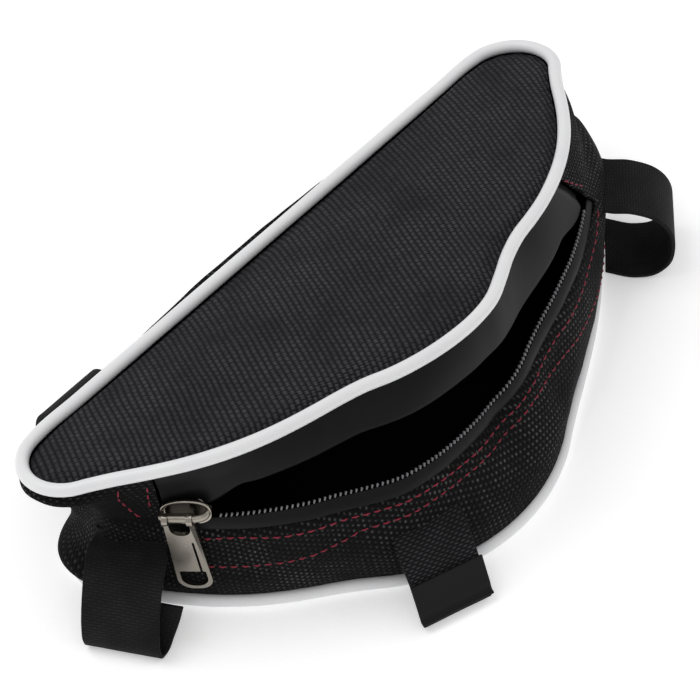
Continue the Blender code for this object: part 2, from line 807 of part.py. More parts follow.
def smooth_route(route):
    """Route with a point halfway between each two rows, on a smooth curve."""
    rows = [Vector(row) for row in route]
    result = [rows[0]]
    for index in range(len(rows) - 1):
        before = rows[max(index - 1, 0)]
        after = rows[min(index + 2, len(rows) - 1)]
        low = rows[index]
        high = rows[index + 1]
        result.append((low + high) * 0.5625 - (before + after) * 0.0625)
        result.append(high)
    return result


def strap_rows(shape, station, turn, reach, height, route):
    """Rows of points across a strap, from its sewn end along its route."""
    clear = STRAP_THICKNESS / 2 + STRAP_GAP
    seam_out = PIPING_DIAMETER / 2 + SEAM_GAP
    out = at(shape.back_out, station).normalized()
    out.rotate(Euler((0.0, 0.0, math.radians(turn))))
    along = Vector((-out.y, out.x, 0.0))
    base = at(shape.back, station)
    shares = [2 * i / (STRAP_COLUMNS_ACROSS - 1) - 1 for i in range(STRAP_COLUMNS_ACROSS)]
    stations = [walk(shape.back, station, share * STRAP_WIDTH / 2) for share in shares]

    def wall_out(place, level):
        return (shape.wall(place, level) - at(shape.back, place)).dot(at(shape.back_out, place))

    rows = []
    for level in (height + SEWN_LENGTH, height + SEWN_LENGTH / 2):
        row = []
        for place in stations:
            spot = shape.wall(place, level)
            row.append(spot + at(shape.back_out, place).normalized() * clear)
        rows.append(row)
    for out_share, height_share, drift_share in smooth_route(route):
        level = STRAP_THICKNESS / 2 + height_share * (height - STRAP_THICKNESS / 2)
        hug = max(0.0, 1 - out_share / HUG_REACH) ** 2
        row = []
        for share, place in zip(shares, stations):
            slide = share * STRAP_WIDTH / 2 + drift_share * STRAP_WIDTH
            rise = level / height
            start = seam_out + (wall_out(station, height) + clear - seam_out) * rise
            straight = base + out * (start + out_share * reach) + along * slide
            start = seam_out + (wall_out(place, height) + clear - seam_out) * rise
            hugging = at(shape.back, place) + at(shape.back_out, place) * (start + out_share * reach)
            spot = straight.lerp(hugging, hug)
            spot.z = level
            row.append(spot)
        rows.append(row)
    return rows


def make_straps(shape, parent):
    """Four webbing straps and the smooth layer sewn over the end of the front one."""
    for name, place, side, turn, reach_share, height_share, route in STRAP_TABLE:
        station = shape.station(place, side)
        reach = STRAP_REACH * reach_share
        height = STRAP_HEIGHT * height_share
        rows = strap_rows(shape, station, turn, reach, height, route)
        outer, inner = sheet_sides(rows, STRAP_THICKNESS, 0.5)
        shell_object(name, outer, inner, "webbing_black", parent)
        if route is FLAP_ROUTE:
            make_patch(rows, parent)


def make_patch(rows, parent):
    """Smooth layer on top of the outer end of a flap."""
    lift = STRAP_THICKNESS / 2 + SEAM_GAP + PATCH_THICKNESS / 2
    first = round(len(rows) * PATCH_START)
    patch = []
    for index in range(first, len(rows)):
        row = rows[index]
        behind = rows[index - 1]
        up = (row[0] - behind[0]).cross(row[-1] - row[0]).normalized()
        if up.z < 0:
            up = -up
        middle = (row[0] + row[-1]) / 2
        stretch = PATCH_WIDTH / STRAP_WIDTH
        patch.append([middle + (point - middle) * stretch + up * lift for point in row])
    outer, inner = sheet_sides(patch, PATCH_THICKNESS, 0.5)
    shell_object("strap_front_patch", outer, inner, "webbing_black", parent)


def centre_frame(frame):
    """Move the parent so that the middle of the whole bag's bounding box is over the origin."""
    bpy.context.view_layer.update()
    graph = bpy.context.evaluated_depsgraph_get()
    low = Vector((math.inf,) * 3)
    high = -low
    for item in frame.children:
        if item.hide_render:
            continue
        solid = item.evaluated_get(graph)
        for vertex in solid.data.vertices:
            spot = solid.matrix_world @ vertex.co
            low = Vector(map(min, low, spot))
            high = Vector(map(max, high, spot))
    frame.location = (-(low.x + high.x) / 2, -(low.y + high.y) / 2, -low.z)


def main():
    """Build every piece of the bag and centre it over its origin."""
    clear_scene()
    shape = BagShape()
    frame = bpy.data.objects.new("bag_frame", None)
    bpy.context.collection.objects.link(frame)
    make_back_panel(shape, frame)
    make_front_panel(shape, frame)
    make_piping(shape, frame)
    make_gusset(shape, frame)
    make_tapes(shape, frame)
    make_coils(shape, frame)
    make_slider(shape, frame)
    make_pull(shape, frame)
    make_straps(shape, frame)
    centre_frame(frame)


main()
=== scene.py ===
"""Looks of a half-moon zip bag for a motorcycle crash bar.

The bag lies on its back panel with its zip open. Each soft CAD solid is replaced by a finer
cloth, tape or webbing piece that follows the same seams, and the zip's hard parts by finer
metal ones. Lengths are in metres.
"""

import json
import logging
import math
from contextlib import contextmanager
from dataclasses import dataclass, field
from enum import Enum
from typing import Callable, Iterator, Sequence

import bpy
import numpy as np
from mathutils import Matrix, Vector, noise

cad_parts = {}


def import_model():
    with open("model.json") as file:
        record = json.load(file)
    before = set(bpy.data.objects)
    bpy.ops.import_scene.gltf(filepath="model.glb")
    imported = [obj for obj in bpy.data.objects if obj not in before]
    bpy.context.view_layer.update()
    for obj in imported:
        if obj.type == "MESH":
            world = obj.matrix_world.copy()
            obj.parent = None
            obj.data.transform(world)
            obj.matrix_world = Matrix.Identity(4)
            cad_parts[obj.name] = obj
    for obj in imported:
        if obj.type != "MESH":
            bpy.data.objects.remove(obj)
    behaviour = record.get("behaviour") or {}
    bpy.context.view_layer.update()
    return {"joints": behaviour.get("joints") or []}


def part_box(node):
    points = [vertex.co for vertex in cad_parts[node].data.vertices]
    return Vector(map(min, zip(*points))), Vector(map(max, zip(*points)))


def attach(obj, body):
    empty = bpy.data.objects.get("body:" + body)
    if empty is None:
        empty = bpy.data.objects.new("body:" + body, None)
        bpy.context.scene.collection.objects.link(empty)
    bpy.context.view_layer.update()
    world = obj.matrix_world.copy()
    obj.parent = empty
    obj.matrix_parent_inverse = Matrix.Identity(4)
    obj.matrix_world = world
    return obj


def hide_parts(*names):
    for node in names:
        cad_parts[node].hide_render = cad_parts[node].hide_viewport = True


LOG = logging.getLogger("crash_bar_bag")
MM = 0.001
Sockets = dict[str | int, object]


class Slot(Enum):
    """Material slots of the record, one named on each finish."""

    CLOTH = "woven_black"
    WEBBING = "webbing_black"
    TAPE = "tape_black"
    PIPING = "piping_white"
    TEETH = "coil_black"
    METAL = "slider_metal"


class Body(Enum):
    """Bodies of the frame that the pieces ride on."""

    BAG = "bag"
    PULL = "pull"


class Side(Enum):
    """Stretch of the back seam that a strap is sewn to."""

    CURVED = "curved"
    STRAIGHT = "straight"
    BEFORE_ZIP = "before zip"


# Colours and material nodes


def linear(colour: str) -> tuple[float, float, float, float]:
    """Turn an sRGB hex colour into the linear one that a socket takes.

    Args:
        colour: Colour such as "#7a1c2c".

    Returns:
        Linear red, green and blue, and an alpha of one.
    """
    channels = []
    for start in (1, 3, 5):
        value = int(colour[start : start + 2], 16) / 255
        channels.append(value / 12.92 if value <= 0.04045 else ((value + 0.055) / 1.055) ** 2.4)
    return (*channels, 1.0)


def add_node(
    material: bpy.types.Material,
    kind: str,
    settings: dict[str, object] | None = None,
    sockets: Sockets | None = None,
) -> bpy.types.Node:
    """Add a node to a material with its settings, values and links.

    Args:
        material: Material that gets the node.
        kind: Blender's name of the node type.
        settings: Properties of the node by name.
        sockets: Value or source socket of each input, by its name or number.

    Returns:
        The new node.
    """
    tree = material.node_tree
    node = tree.nodes.new(kind)
    for name, value in (settings or {}).items():
        setattr(node, name, value)
    for key, value in (sockets or {}).items():
        if isinstance(value, bpy.types.NodeSocket):
            tree.links.new(value, node.inputs[key])
        else:
            node.inputs[key].default_value = value
    return node


def calculate(
    material: bpy.types.Material, operation: str, *values: float | bpy.types.NodeSocket
) -> bpy.types.NodeSocket:
    """Add a Math node and return its result."""
    node = add_node(material, "ShaderNodeMath", {"operation": operation}, dict(enumerate(values)))
    return node.outputs[0]


def remap(
    material: bpy.types.Material, value: bpy.types.NodeSocket, ends: dict[str, float]
) -> bpy.types.NodeSocket:
    """Add a Map Range node between named ends and return its result."""
    return add_node(material, "ShaderNodeMapRange", {}, {"Value": value, **ends}).outputs[0]


def mix_colours(
    material: bpy.types.Material, share: bpy.types.NodeSocket, first: object, second: object
) -> bpy.types.NodeSocket:
    """Add a mix of two colours, each a value or a socket, and return its result."""
    sockets = {0: share, 6: first, 7: second}
    return add_node(material, "ShaderNodeMix", {"data_type": "RGBA"}, sockets).outputs[2]


def add_noise(
    material: bpy.types.Material,
    place: bpy.types.NodeSocket,
    scale: float,
    detail: float,
    roughness: float = 0.5,
) -> bpy.types.Node:
    """Add a noise texture."""
    sockets = {"Vector": place, "Scale": scale, "Detail": detail, "Roughness": roughness}
    return add_node(material, "ShaderNodeTexNoise", {}, sockets)


def add_bump(
    material: bpy.types.Material, height: bpy.types.NodeSocket, distance: float
) -> bpy.types.NodeSocket:
    """Add a bump whose height is a real distance and return its normal."""
    sockets = {"Height": height, "Strength": 1.0, "Distance": distance}
    return add_node(material, "ShaderNodeBump", {}, sockets).outputs[0]


@dataclass(frozen=True)
class Finish:
    """A finish that a piece can be dressed in, made once and then shared."""

    name: str
    slot: Slot

    def material(self) -> bpy.types.Material:
        """Return the finish's material, made on its first use."""
        found = bpy.data.materials.get(self.name)
        if found is not None:
            return found
        made = bpy.data.materials.new(self.name)
        made.use_nodes = True
        self.paint(made, made.node_tree.nodes["Principled BSDF"])
        return made

    def paint(self, material: bpy.types.Material, shader: bpy.types.Node) -> None:
        """Set the shader and add the nodes that feed it."""
        raise NotImplementedError

    def dress(self, piece: bpy.types.Object) -> None:
        """Give a piece this finish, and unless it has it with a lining."""
        if self.material().name not in piece.data.materials:
            piece.data.materials.clear()
            piece.data.materials.append(self.material())


@dataclass(frozen=True)
class WovenFinish(Finish):
    """Plain-woven yarn: crossing yarns pass over and under each other.

    A yarn catches the light where it comes over the top and is dark where it dives: both are painted
    into its colour as a painted highlight on the crests and painted shade in the dives, which gives
    staggered rows of pale dots on a dark ground.
    """

    across: float
    along: float
    turn: float
    follows_surface: bool
    ground: str
    crest: str
    second_crest: str
    relief: float
    roughness: float
    gloss: float = 0.15
    contrast: float = 1.6
    stripe: float = 0.5
    faintest: float = 0.45
    dullest: float = 0.7
    wander: float = 1.6 * MM
    wander_scale: float = 55.0
    zone_scale: float = 38.0

    def paint(self, material: bpy.types.Material, shader: bpy.types.Node) -> None:
        """Build the weave from the two yarns' heights, then colour and bump from it, with the crests painted
        paler as a painted highlight.
        """
        source = add_node(material, "ShaderNodeTexCoord")
        start = source.outputs["UV" if self.follows_surface else "Object"]
        drift = add_noise(material, start, self.wander_scale, 2.0).outputs["Color"]
        wandering = add_node(
            material,
            "ShaderNodeVectorMath",
            {"operation": "MULTIPLY_ADD"},
            {0: drift, 1: (self.wander, self.wander, 0.0), 2: start},
        )
        turned = add_node(
            material,
            "ShaderNodeMapping",
            {},
            {"Vector": wandering.outputs[0], "Rotation": (0.0, 0.0, math.radians(self.turn))},
        )
        yarns = add_node(
            material,
            "ShaderNodeVectorMath",
            {"operation": "MULTIPLY"},
            {0: turned.outputs[0], 1: (1 / self.across, 1 / self.along, 0.0)},
        )
        split = add_node(material, "ShaderNodeSeparateXYZ", {}, {0: yarns.outputs[0]})
        heights = []
        for own, other, swing in (("X", "Y", 1 - self.stripe), ("Y", "X", self.stripe - 1)):
            heights.append(self.yarn_height(material, split.outputs[own], split.outputs[other], swing))
        top = calculate(material, "MAXIMUM", *heights)
        first, second = (calculate(material, "POWER", height, self.contrast) for height in heights)
        zones = add_noise(material, start, self.zone_scale, 3.0, 0.6).outputs["Fac"]
        strength = remap(material, zones, {"From Min": 0.36, "From Max": 0.64, "To Min": self.faintest})
        cell = add_node(material, "ShaderNodeVectorMath", {"operation": "FLOOR"}, {0: yarns.outputs[0]})
        chance = add_node(
            material, "ShaderNodeTexWhiteNoise", {"noise_dimensions": "3D"}, {"Vector": cell.outputs[0]}
        )
        bulk = remap(material, chance.outputs["Value"], {"To Min": self.dullest, "To Max": 1.0})
        uneven_highlight = calculate(material, "MULTIPLY", first, bulk)
        shown = calculate(material, "MULTIPLY", uneven_highlight, strength)
        # Painted highlight: the crests are coloured paler by their height, and the dives stay dark as
        # painted shade on the black ground.
        base = mix_colours(material, shown, linear(self.ground), linear(self.crest))
        crossing = calculate(material, "MULTIPLY", second, strength)
        both = mix_colours(material, crossing, base, linear(self.second_crest))
        bump = add_bump(material, top, self.relief)
        material.node_tree.links.new(both, shader.inputs["Base Color"])
        material.node_tree.links.new(bump, shader.inputs["Normal"])
        shader.inputs["Roughness"].default_value = self.roughness
        shader.inputs["Specular IOR Level"].default_value = self.gloss

    @staticmethod
    def yarn_height(
        material: bpy.types.Material,
        own: bpy.types.NodeSocket,
        other: bpy.types.NodeSocket,
        swing: float,
    ) -> bpy.types.NodeSocket:
        """Height of one set of yarns, from 0 where it dives to 1 on its crests.

        Args:
            material: Material that gets the nodes.
            own: Coordinate across the yarns, in yarns.
            other: Coordinate along the yarns, in crossings.
            swing: How far a yarn dives, negative where its first crossing is under.

        Returns:
            The height's socket.
        """
        arc = calculate(material, "MULTIPLY", calculate(material, "FRACT", own), math.pi)
        round_top = calculate(material, "SINE", arc)
        turn = calculate(material, "MULTIPLY", calculate(material, "FLOOR", own), math.pi)
        parity = calculate(material, "COSINE", turn)
        wave = calculate(material, "SINE", calculate(material, "MULTIPLY", other, math.pi))
        over = calculate(material, "MULTIPLY", wave, parity)
        lifted = calculate(material, "MULTIPLY_ADD", over, swing, 1 - abs(swing))
        return calculate(material, "MULTIPLY", round_top, lifted)


@dataclass(frozen=True)
class SmoothFinish(Finish):
    """Coated, moulded or drawn surface with a soft cloudiness and a fine grain.

    The cloudiness keeps a wide plain surface from looking flat, and the grain breaks up its
    highlight.
    """

    colour: str
    cloud: str
    roughness: float
    cloud_scale: float = 60.0
    cloud_share: float = 0.5
    grain_scale: float = 900.0
    grain_relief: float = 0.00004
    metallic: float = 0.0
    gloss: float = 0.5
    ior: float = 1.5
    roughness_spread: float = 0.08
    glow: float = 0.0

    def paint(self, material: bpy.types.Material, shader: bpy.types.Node) -> None:
        """Cloud the colour and roughness, and bump the surface with its grain."""
        place = add_node(material, "ShaderNodeTexCoord").outputs["Object"]
        clouds = add_noise(material, place, self.cloud_scale, 4.0).outputs["Fac"]
        ends = {"From Min": 0.35, "From Max": 0.7, "To Max": self.cloud_share}
        share = remap(material, clouds, ends)
        colour = mix_colours(material, share, linear(self.colour), linear(self.cloud))
        low, high = self.roughness - self.roughness_spread, self.roughness + self.roughness_spread
        rough = remap(material, clouds, {"To Min": low, "To Max": high})
        grain = add_noise(material, place, self.grain_scale, 3.0).outputs["Fac"]
        bump = add_bump(material, grain, self.grain_relief)
        material.node_tree.links.new(colour, shader.inputs["Base Color"])
        material.node_tree.links.new(rough, shader.inputs["Roughness"])
        material.node_tree.links.new(bump, shader.inputs["Normal"])
        shader.inputs["Metallic"].default_value = self.metallic
        shader.inputs["Specular IOR Level"].default_value = self.gloss
        shader.inputs["Emission Color"].default_value = linear(self.colour)
        shader.inputs["Emission Strength"].default_value = self.glow
        if not self.metallic:
            shader.inputs["IOR"].default_value = self.ior


# 600-denier black polyester, plain-woven of bulky yarns: rows of matt floats 1.9 mm apart, their grey a
# painted highlight on the crests
PANEL_CLOTH = WovenFinish(
    "woven_polyester_panel", Slot.CLOTH, 1.93 * MM, 1.05 * MM, 29.0, False,
    "#101013", "#555558", "#161619", 0.3 * MM, 0.8, 0.12, 1.5, 0.86, 0.4, 0.6,
)
# The same cloth on the sides, cut along the bag, so its rows follow the wall
WALL_CLOTH = WovenFinish(
    "woven_polyester_wall", Slot.CLOTH, 1.6 * MM, 1.0 * MM, 47.0, True,
    "#090909", "#666766", "#0e0e0f", 0.34 * MM, 0.8, 0.1, 3.0, 0.45, 0.05, 0.25,
)
# Waterproof coating on the cloth's inner face: dull black, it swallows the light in the mouth
LINING = SmoothFinish("coated_lining", Slot.CLOTH, "#060606", "#0b0b0b", 0.8, gloss=0.1)
# Polypropylene webbing: thick weft ribs 1 mm apart across a dense warp, close to black
STRAP_WEBBING = WovenFinish(
    "webbing_polypropylene", Slot.WEBBING, 1.5 * MM, 0.96 * MM, 0.0, True,
    "#0e0e0f", "#161617", "#2a2a2c", 0.14 * MM, 0.75, 0.12, 1.3, 0.8, 0.1,
)
# The flap's webbing faces the light, so its ribs stand out more: they are finer and deeper, and their crests
# are painted paler than the other straps' as a painted highlight
FLAP_WEBBING = WovenFinish(
    "webbing_ribbed_painted_highlight", Slot.WEBBING, 1.2 * MM, 0.96 * MM, 0.0, True,
    "#080809", "#0f0f10", "#464649", 0.2 * MM, 0.75, 0.1, 1.6, 0.62, 0.35,
)
# Smooth calendered patch over the flap's end: flat, faintly glossy
PATCH_WEBBING = SmoothFinish(
    "coated_patch_cloth", Slot.WEBBING, "#0d0d0e", "#141416", 0.6, cloud_scale=45.0, gloss=0.2
)
# Polyurethane-coated zip tape: matt charcoal, with a soft broad highlight
ZIP_TAPE = SmoothFinish(
    "coated_zip_tape", Slot.TAPE, "#0c0c0d", "#151516", 0.5, cloud_scale=40.0, gloss=0.14
)
# Polyvinyl chloride piping, extruded: cream white with a soft wet-looking line of light
PIPING_VINYL = SmoothFinish(
    "piping_vinyl", Slot.PIPING, "#e9e9ea", "#dfdfe2", 0.4, cloud_scale=70.0,
    grain_scale=500.0, grain_relief=0.00003, ior=1.53,
)
# Nylon coil, drawn and formed: black filament painted grey all over as a painted highlight that stands in
# for the glints on its tips
TOOTH_NYLON = SmoothFinish("coil_nylon_painted_glint", Slot.TEETH, "#6c6c6f", "#8a8a8d", 0.3, ior=1.53)
# Polyester sewing thread: dark red, slightly glossy along its twist
RED_THREAD = SmoothFinish(
    "thread_polyester_red", Slot.CLOTH, "#801a30", "#8e2238", 0.5, grain_scale=2500.0, gloss=0.3
)
# Die-cast zinc, polished and black-nickel plated: a dark mirror whose rims catch the lamps
GUNMETAL = SmoothFinish(
    "black_nickel_zinc", Slot.METAL, "#a8a197", "#948d83", 0.16, metallic=1.0,
    grain_scale=700.0, grain_relief=0.000003, roughness_spread=0.04,
)
# The dished middle of its plates, painted dark as painted shade in the recess
RECESS_PAINTED_SHADE = SmoothFinish(
    "recess_painted_shade", Slot.METAL, "#38342f", "#2a2724", 0.25, metallic=1.0,
    grain_scale=700.0, grain_relief=0.000004, roughness_spread=0.05,
)
# The pull's plating is tumbled, so its flat face is a soft satin grey
SATIN_METAL = SmoothFinish(
    "satin_nickel_zinc", Slot.METAL, "#9c968d", "#8b857c", 0.27, metallic=1.0,
    grain_scale=900.0, grain_relief=0.000004, roughness_spread=0.05,
)
# Lit studio table: even, matt and almost white
FLOOR = SmoothFinish("studio_table", Slot.CLOTH, "#fbfbfb", "#f8f8f8", 0.9, glow=0.3, gloss=0.2)


# Mesh helpers


def only(piece: bpy.types.Object) -> None:
    """Select one object and make it the active one."""
    bpy.ops.object.select_all(action="DESELECT")
    piece.select_set(True)
    bpy.context.view_layer.objects.active = piece


@contextmanager
def editing(piece: bpy.types.Object) -> Iterator[None]:
    """Edit one mesh with all of it selected, and leave edit mode afterwards."""
    only(piece)
    bpy.ops.object.mode_set(mode="EDIT")
    bpy.ops.mesh.select_all(action="SELECT")
    yield
    bpy.ops.object.mode_set(mode="OBJECT")


def primitive(operator: Callable[..., set[str]], **settings: object) -> bpy.types.Object:
    """Add one of Blender's own shapes with nothing else selected, and return it."""
    bpy.ops.object.select_all(action="DESELECT")
    operator(**settings)
    return bpy.context.active_object


def unit(vectors: np.ndarray) -> np.ndarray:
    """Scale vectors to a length of one."""
    return vectors / np.maximum(np.linalg.norm(vectors, axis=-1, keepdims=True), 1e-12)


def spots_of(piece: bpy.types.Object) -> np.ndarray:
    """Return a mesh's vertices as rows of three."""
    flat = np.empty(len(piece.data.vertices) * 3)
    piece.data.vertices.foreach_get("co", flat)
    return flat.reshape(-1, 3)


def place_spots(piece: bpy.types.Object, spots: np.ndarray) -> None:
    """Move a mesh's vertices to new places."""
    piece.data.vertices.foreach_set("co", np.ascontiguousarray(spots).ravel())
    piece.data.update()


def add_modifier(piece: bpy.types.Object, kind: str, **settings: object) -> None:
    """Add a modifier with its settings and apply it."""
    only(piece)
    modifier = piece.modifiers.new(kind.lower(), kind)
    for name, value in settings.items():
        setattr(modifier, name, value)
    bpy.ops.object.modifier_apply(modifier=modifier.name)


def line_cloth(piece: bpy.types.Object, thickness: float, outside: Finish, inside: Finish) -> None:
    """Thicken a sheet behind its outer face, with a second finish on the inner one."""
    piece.data.materials.clear()
    for finish in (outside, inside):
        piece.data.materials.append(finish.material())
    add_modifier(piece, "SOLIDIFY", thickness=thickness, offset=-1.0, material_offset=1)


def merge_seams(piece: bpy.types.Object) -> None:
    """Merge vertices that lie on each other, as at a closed seam or a pole."""
    with editing(piece):
        bpy.ops.mesh.remove_doubles(threshold=0.000002)


def face_outwards(piece: bpy.types.Object) -> None:
    """Recalculate the normals of a closed mesh."""
    with editing(piece):
        bpy.ops.mesh.normals_make_consistent(inside=False)


def smooth(piece: bpy.types.Object, degrees: float = 40.0) -> None:
    """Shade a piece smooth but for its sharp edges."""
    only(piece)
    bpy.ops.object.shade_smooth_by_angle(angle=math.radians(degrees))


def seat(piece: bpy.types.Object, finish: Finish, body: Body, *nodes: str) -> bpy.types.Object:
    """Dress a piece, ride it on its body and let it stand for its CAD nodes.

    Args:
        piece: Finished piece, in place.
        finish: What it is made of.
        body: Body that carries it.
        nodes: CAD nodes that it replaces.

    Returns:
        The same piece.
    """
    finish.dress(piece)
    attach(piece, body.value)
    if nodes:
        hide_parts(*nodes)
    LOG.info("%s: %d faces", piece.name, len(piece.data.polygons))
    return piece


def grid_sheet(
    name: str, columns: int, rows: int, place: Callable[[np.ndarray, np.ndarray], np.ndarray]
) -> bpy.types.Object:
    """Sheet modelled from a grid whose vertices are laid on a surface.

    Args:
        name: Name of the piece.
        columns: Faces along the surface.
        rows: Faces up the surface.
        place: Gives the points for two arrays of shares, along and up.

    Returns:
        The sheet, with a UV map in metres of its own length and height.
    """
    sheet = primitive(
        bpy.ops.mesh.primitive_grid_add, x_subdivisions=columns, y_subdivisions=rows, size=1.0
    )
    sheet.name = name
    sheet.data.name = name
    shares = spots_of(sheet)[:, :2] + 0.5
    spots = place(shares[:, 0], shares[:, 1])
    place_spots(sheet, spots)
    column = np.rint(shares[:, 0] * columns).astype(int)
    row = np.rint(shares[:, 1] * rows).astype(int)
    table = np.empty((rows + 1, columns + 1, 3))
    table[row, column] = spots
    lengths = np.linalg.norm(np.diff(table, axis=1), axis=2).mean(axis=0)
    heights = np.linalg.norm(np.diff(table, axis=0), axis=2).mean(axis=1)
    along = running_total(lengths)
    up = running_total(heights)
    corners = np.empty(len(sheet.data.loops), int)
    sheet.data.loops.foreach_get("vertex_index", corners)
    metric = np.column_stack((along[column[corners]], up[row[corners]]))
    sheet.data.uv_layers.active.data.foreach_set("uv", metric.ravel())
    return sheet


def join_copies(
    name: str, model: bpy.types.Object, places: Sequence[Matrix], keep_model: bool = False
) -> bpy.types.Object:
    """Copy a small shape to many places, each copy with its own mesh, and join them.

    Args:
        name: Name of the joined piece.
        model: Shape at the origin.
        places: Matrix of each copy.
        keep_model: Leave the model in the scene for another row.

    Returns:
        The joined piece.
    """
    copies = []
    for matrix in places:
        copy = model.copy()
        copy.data = model.data.copy()
        copy.data.transform(matrix)
        bpy.context.scene.collection.objects.link(copy)
        copies.append(copy)
    bpy.ops.object.select_all(action="DESELECT")
    for copy in copies:
        copy.select_set(True)
    bpy.context.view_layer.objects.active = copies[0]
    bpy.ops.object.join()
    copies[0].name = name
    copies[0].data.name = name
    if not keep_model:
        bpy.data.objects.remove(model)
    return copies[0]


def frame_matrix(centre: np.ndarray, x: np.ndarray, y: np.ndarray, z: np.ndarray) -> Matrix:
    """Matrix that takes an origin and three axes to a place."""
    matrix = np.eye(4)
    for column, axis in enumerate((x, y, z, centre)):
        matrix[:3, column] = axis
    return Matrix(matrix.tolist())


def cloth_noise(spots: np.ndarray, size: float, seed: float) -> np.ndarray:
    """Smooth irregularity between -1 and 1 at each point.

    Args:
        spots: Points.
        size: Width of one rise or hollow.
        seed: Offset that gives each piece its own pattern.

    Returns:
        One value for each point.
    """
    shift = Vector((seed, seed * 0.7, seed * 1.3))
    return np.array([noise.noise(Vector(spot) / size + shift) for spot in spots])


def ease(share: np.ndarray | float) -> np.ndarray:
    """Ease from 0 to 1."""
    share = np.clip(share, 0.0, 1.0)
    return share * share * (3 - 2 * share)


def running_total(steps: np.ndarray) -> np.ndarray:
    """Distance from the start to each point, from the steps between the points."""
    return np.concatenate(([0.0], np.cumsum(steps)))


def lengths_along(points: np.ndarray) -> np.ndarray:
    """Distance from the first point of an open line to each of its points."""
    return running_total(np.linalg.norm(np.diff(points, axis=0), axis=1))


def curve_between(
    t: np.ndarray, low: np.ndarray, high: np.ndarray, leave: np.ndarray, arrive: np.ndarray
) -> np.ndarray:
    """Smooth curve from one point to the next.

    Args:
        t: Share of the way, from 0 to 1.
        low: Points at 0.
        high: Points at 1.
        leave: Slope at 0 times the length of the way.
        arrive: Slope at 1 times the length of the way.

    Returns:
        Points of the curve.
    """
    result = (2 * t**3 - 3 * t**2 + 1) * low + (3 * t**2 - 2 * t**3) * high
    return result + (t**3 - 2 * t**2 + t) * leave + (t**3 - t**2) * arrive


# The bag's form


@dataclass(frozen=True)
class Outline:
    """Rounded triangle from above, anticlockwise from the left end of its straight side."""

    length: float
    depth: float
    tip_radii: tuple[float, float]
    apex_radius: float
    apex_shift: float
    bow: float
    tip_steps: int = 8
    side_steps: int = 11
    apex_steps: int = 4
    base_steps: int = 12

    def half(self, tip_radius: float, apex_shift: float) -> np.ndarray:
        """Left tip, bowed left side and left half of the apex."""
        tip_x = self.length / 2 - tip_radius
        run = tip_x + apex_shift
        rise = self.apex_radius - self.depth + tip_radius
        lean = math.asin((self.apex_radius - tip_radius) / math.hypot(run, rise))
        side = math.atan2(rise, run) + 1.5 * math.pi - lean
        out = np.array((math.cos(side), math.sin(side)))
        apex = np.array((apex_shift, self.apex_radius - self.depth))
        turns = np.linspace(math.pi / 2, side, self.tip_steps + 1)
        tip = np.column_stack((np.cos(turns), np.sin(turns))) * tip_radius + (-tip_x, -tip_radius)
        shares = (np.arange(1, self.side_steps) / self.side_steps)[:, None]
        start = tip[-1]
        stop = apex + out * self.apex_radius
        swell = self.bow * (4 * shares * (1 - shares)) ** 1.4
        flank = start + (stop - start) * shares + out * swell
        turns = np.linspace(side, 1.5 * math.pi, self.apex_steps + 1)
        nose = np.column_stack((np.cos(turns), np.sin(turns))) * self.apex_radius + apex
        return np.concatenate((tip, flank, nose))

    def points(self) -> np.ndarray:
        """Points of the whole outline."""
        left = self.half(self.tip_radii[0], self.apex_shift)
        right = self.half(self.tip_radii[1], -self.apex_shift) * (-1.0, 1.0)
        right = right[-2::-1]
        shares = (np.arange(1, self.base_steps) / self.base_steps)[:, None]
        base = right[-1] + (left[0] - right[-1]) * shares
        return np.concatenate((left, right, base))


def ring_outward(ring: np.ndarray) -> np.ndarray:
    """Level unit vectors that point out of an anticlockwise ring."""
    along = np.roll(ring, -1, 0) - np.roll(ring, 1, 0)
    return unit(np.column_stack((along[:, 1], -along[:, 0], np.zeros(len(ring)))))


@dataclass
class Ring:
    """Closed run of points with a smooth curve through them."""

    points: np.ndarray
    steps: np.ndarray = field(init=False)
    lengths: np.ndarray = field(init=False)

    def __post_init__(self) -> None:
        """Measure the steps between the points."""
        self.steps = np.linalg.norm(np.roll(self.points, -1, 0) - self.points, axis=1)
        self.lengths = running_total(self.steps)

    def of(self, values: np.ndarray, stations: np.ndarray) -> np.ndarray:
        """Read values that belong to the points, on a smooth curve between them.

        Args:
            values: One row for each point of the ring.
            stations: Places along the ring, in points.

        Returns:
            One row for each station.
        """
        count = len(values)
        table = values.reshape(count, -1)
        steps = self.steps[:, None]
        ahead = (np.roll(table, -1, 0) - table) / steps
        behind = np.roll(ahead, 1, 0)
        steps_behind = np.roll(steps, 1, 0)
        slope = (ahead * steps_behind + behind * steps) / (steps + steps_behind)
        stations = np.asarray(stations, float)
        low = np.floor(stations).astype(int) % count
        high = (low + 1) % count
        t = (stations - np.floor(stations))[:, None]
        span = steps[low]
        result = curve_between(t, table[low], table[high], span * slope[low], span * slope[high])
        return result.reshape(len(stations), *values.shape[1:])

    def at(self, stations: np.ndarray) -> np.ndarray:
        """Points of the smooth curve."""
        return self.of(self.points, stations)

    def length_at(self, station: float) -> float:
        """Distance along the ring to a station."""
        turns, rest = divmod(station, len(self.points))
        distance = float(np.interp(rest, np.arange(len(self.lengths)), self.lengths))
        return turns * self.lengths[-1] + distance

    def walk(self, station: float, distance: float) -> float:
        """Station that lies a distance further along."""
        turns, rest = divmod(self.length_at(station) + distance, self.lengths[-1])
        station = float(np.interp(rest, self.lengths, np.arange(len(self.lengths))))
        return turns * len(self.points) + station


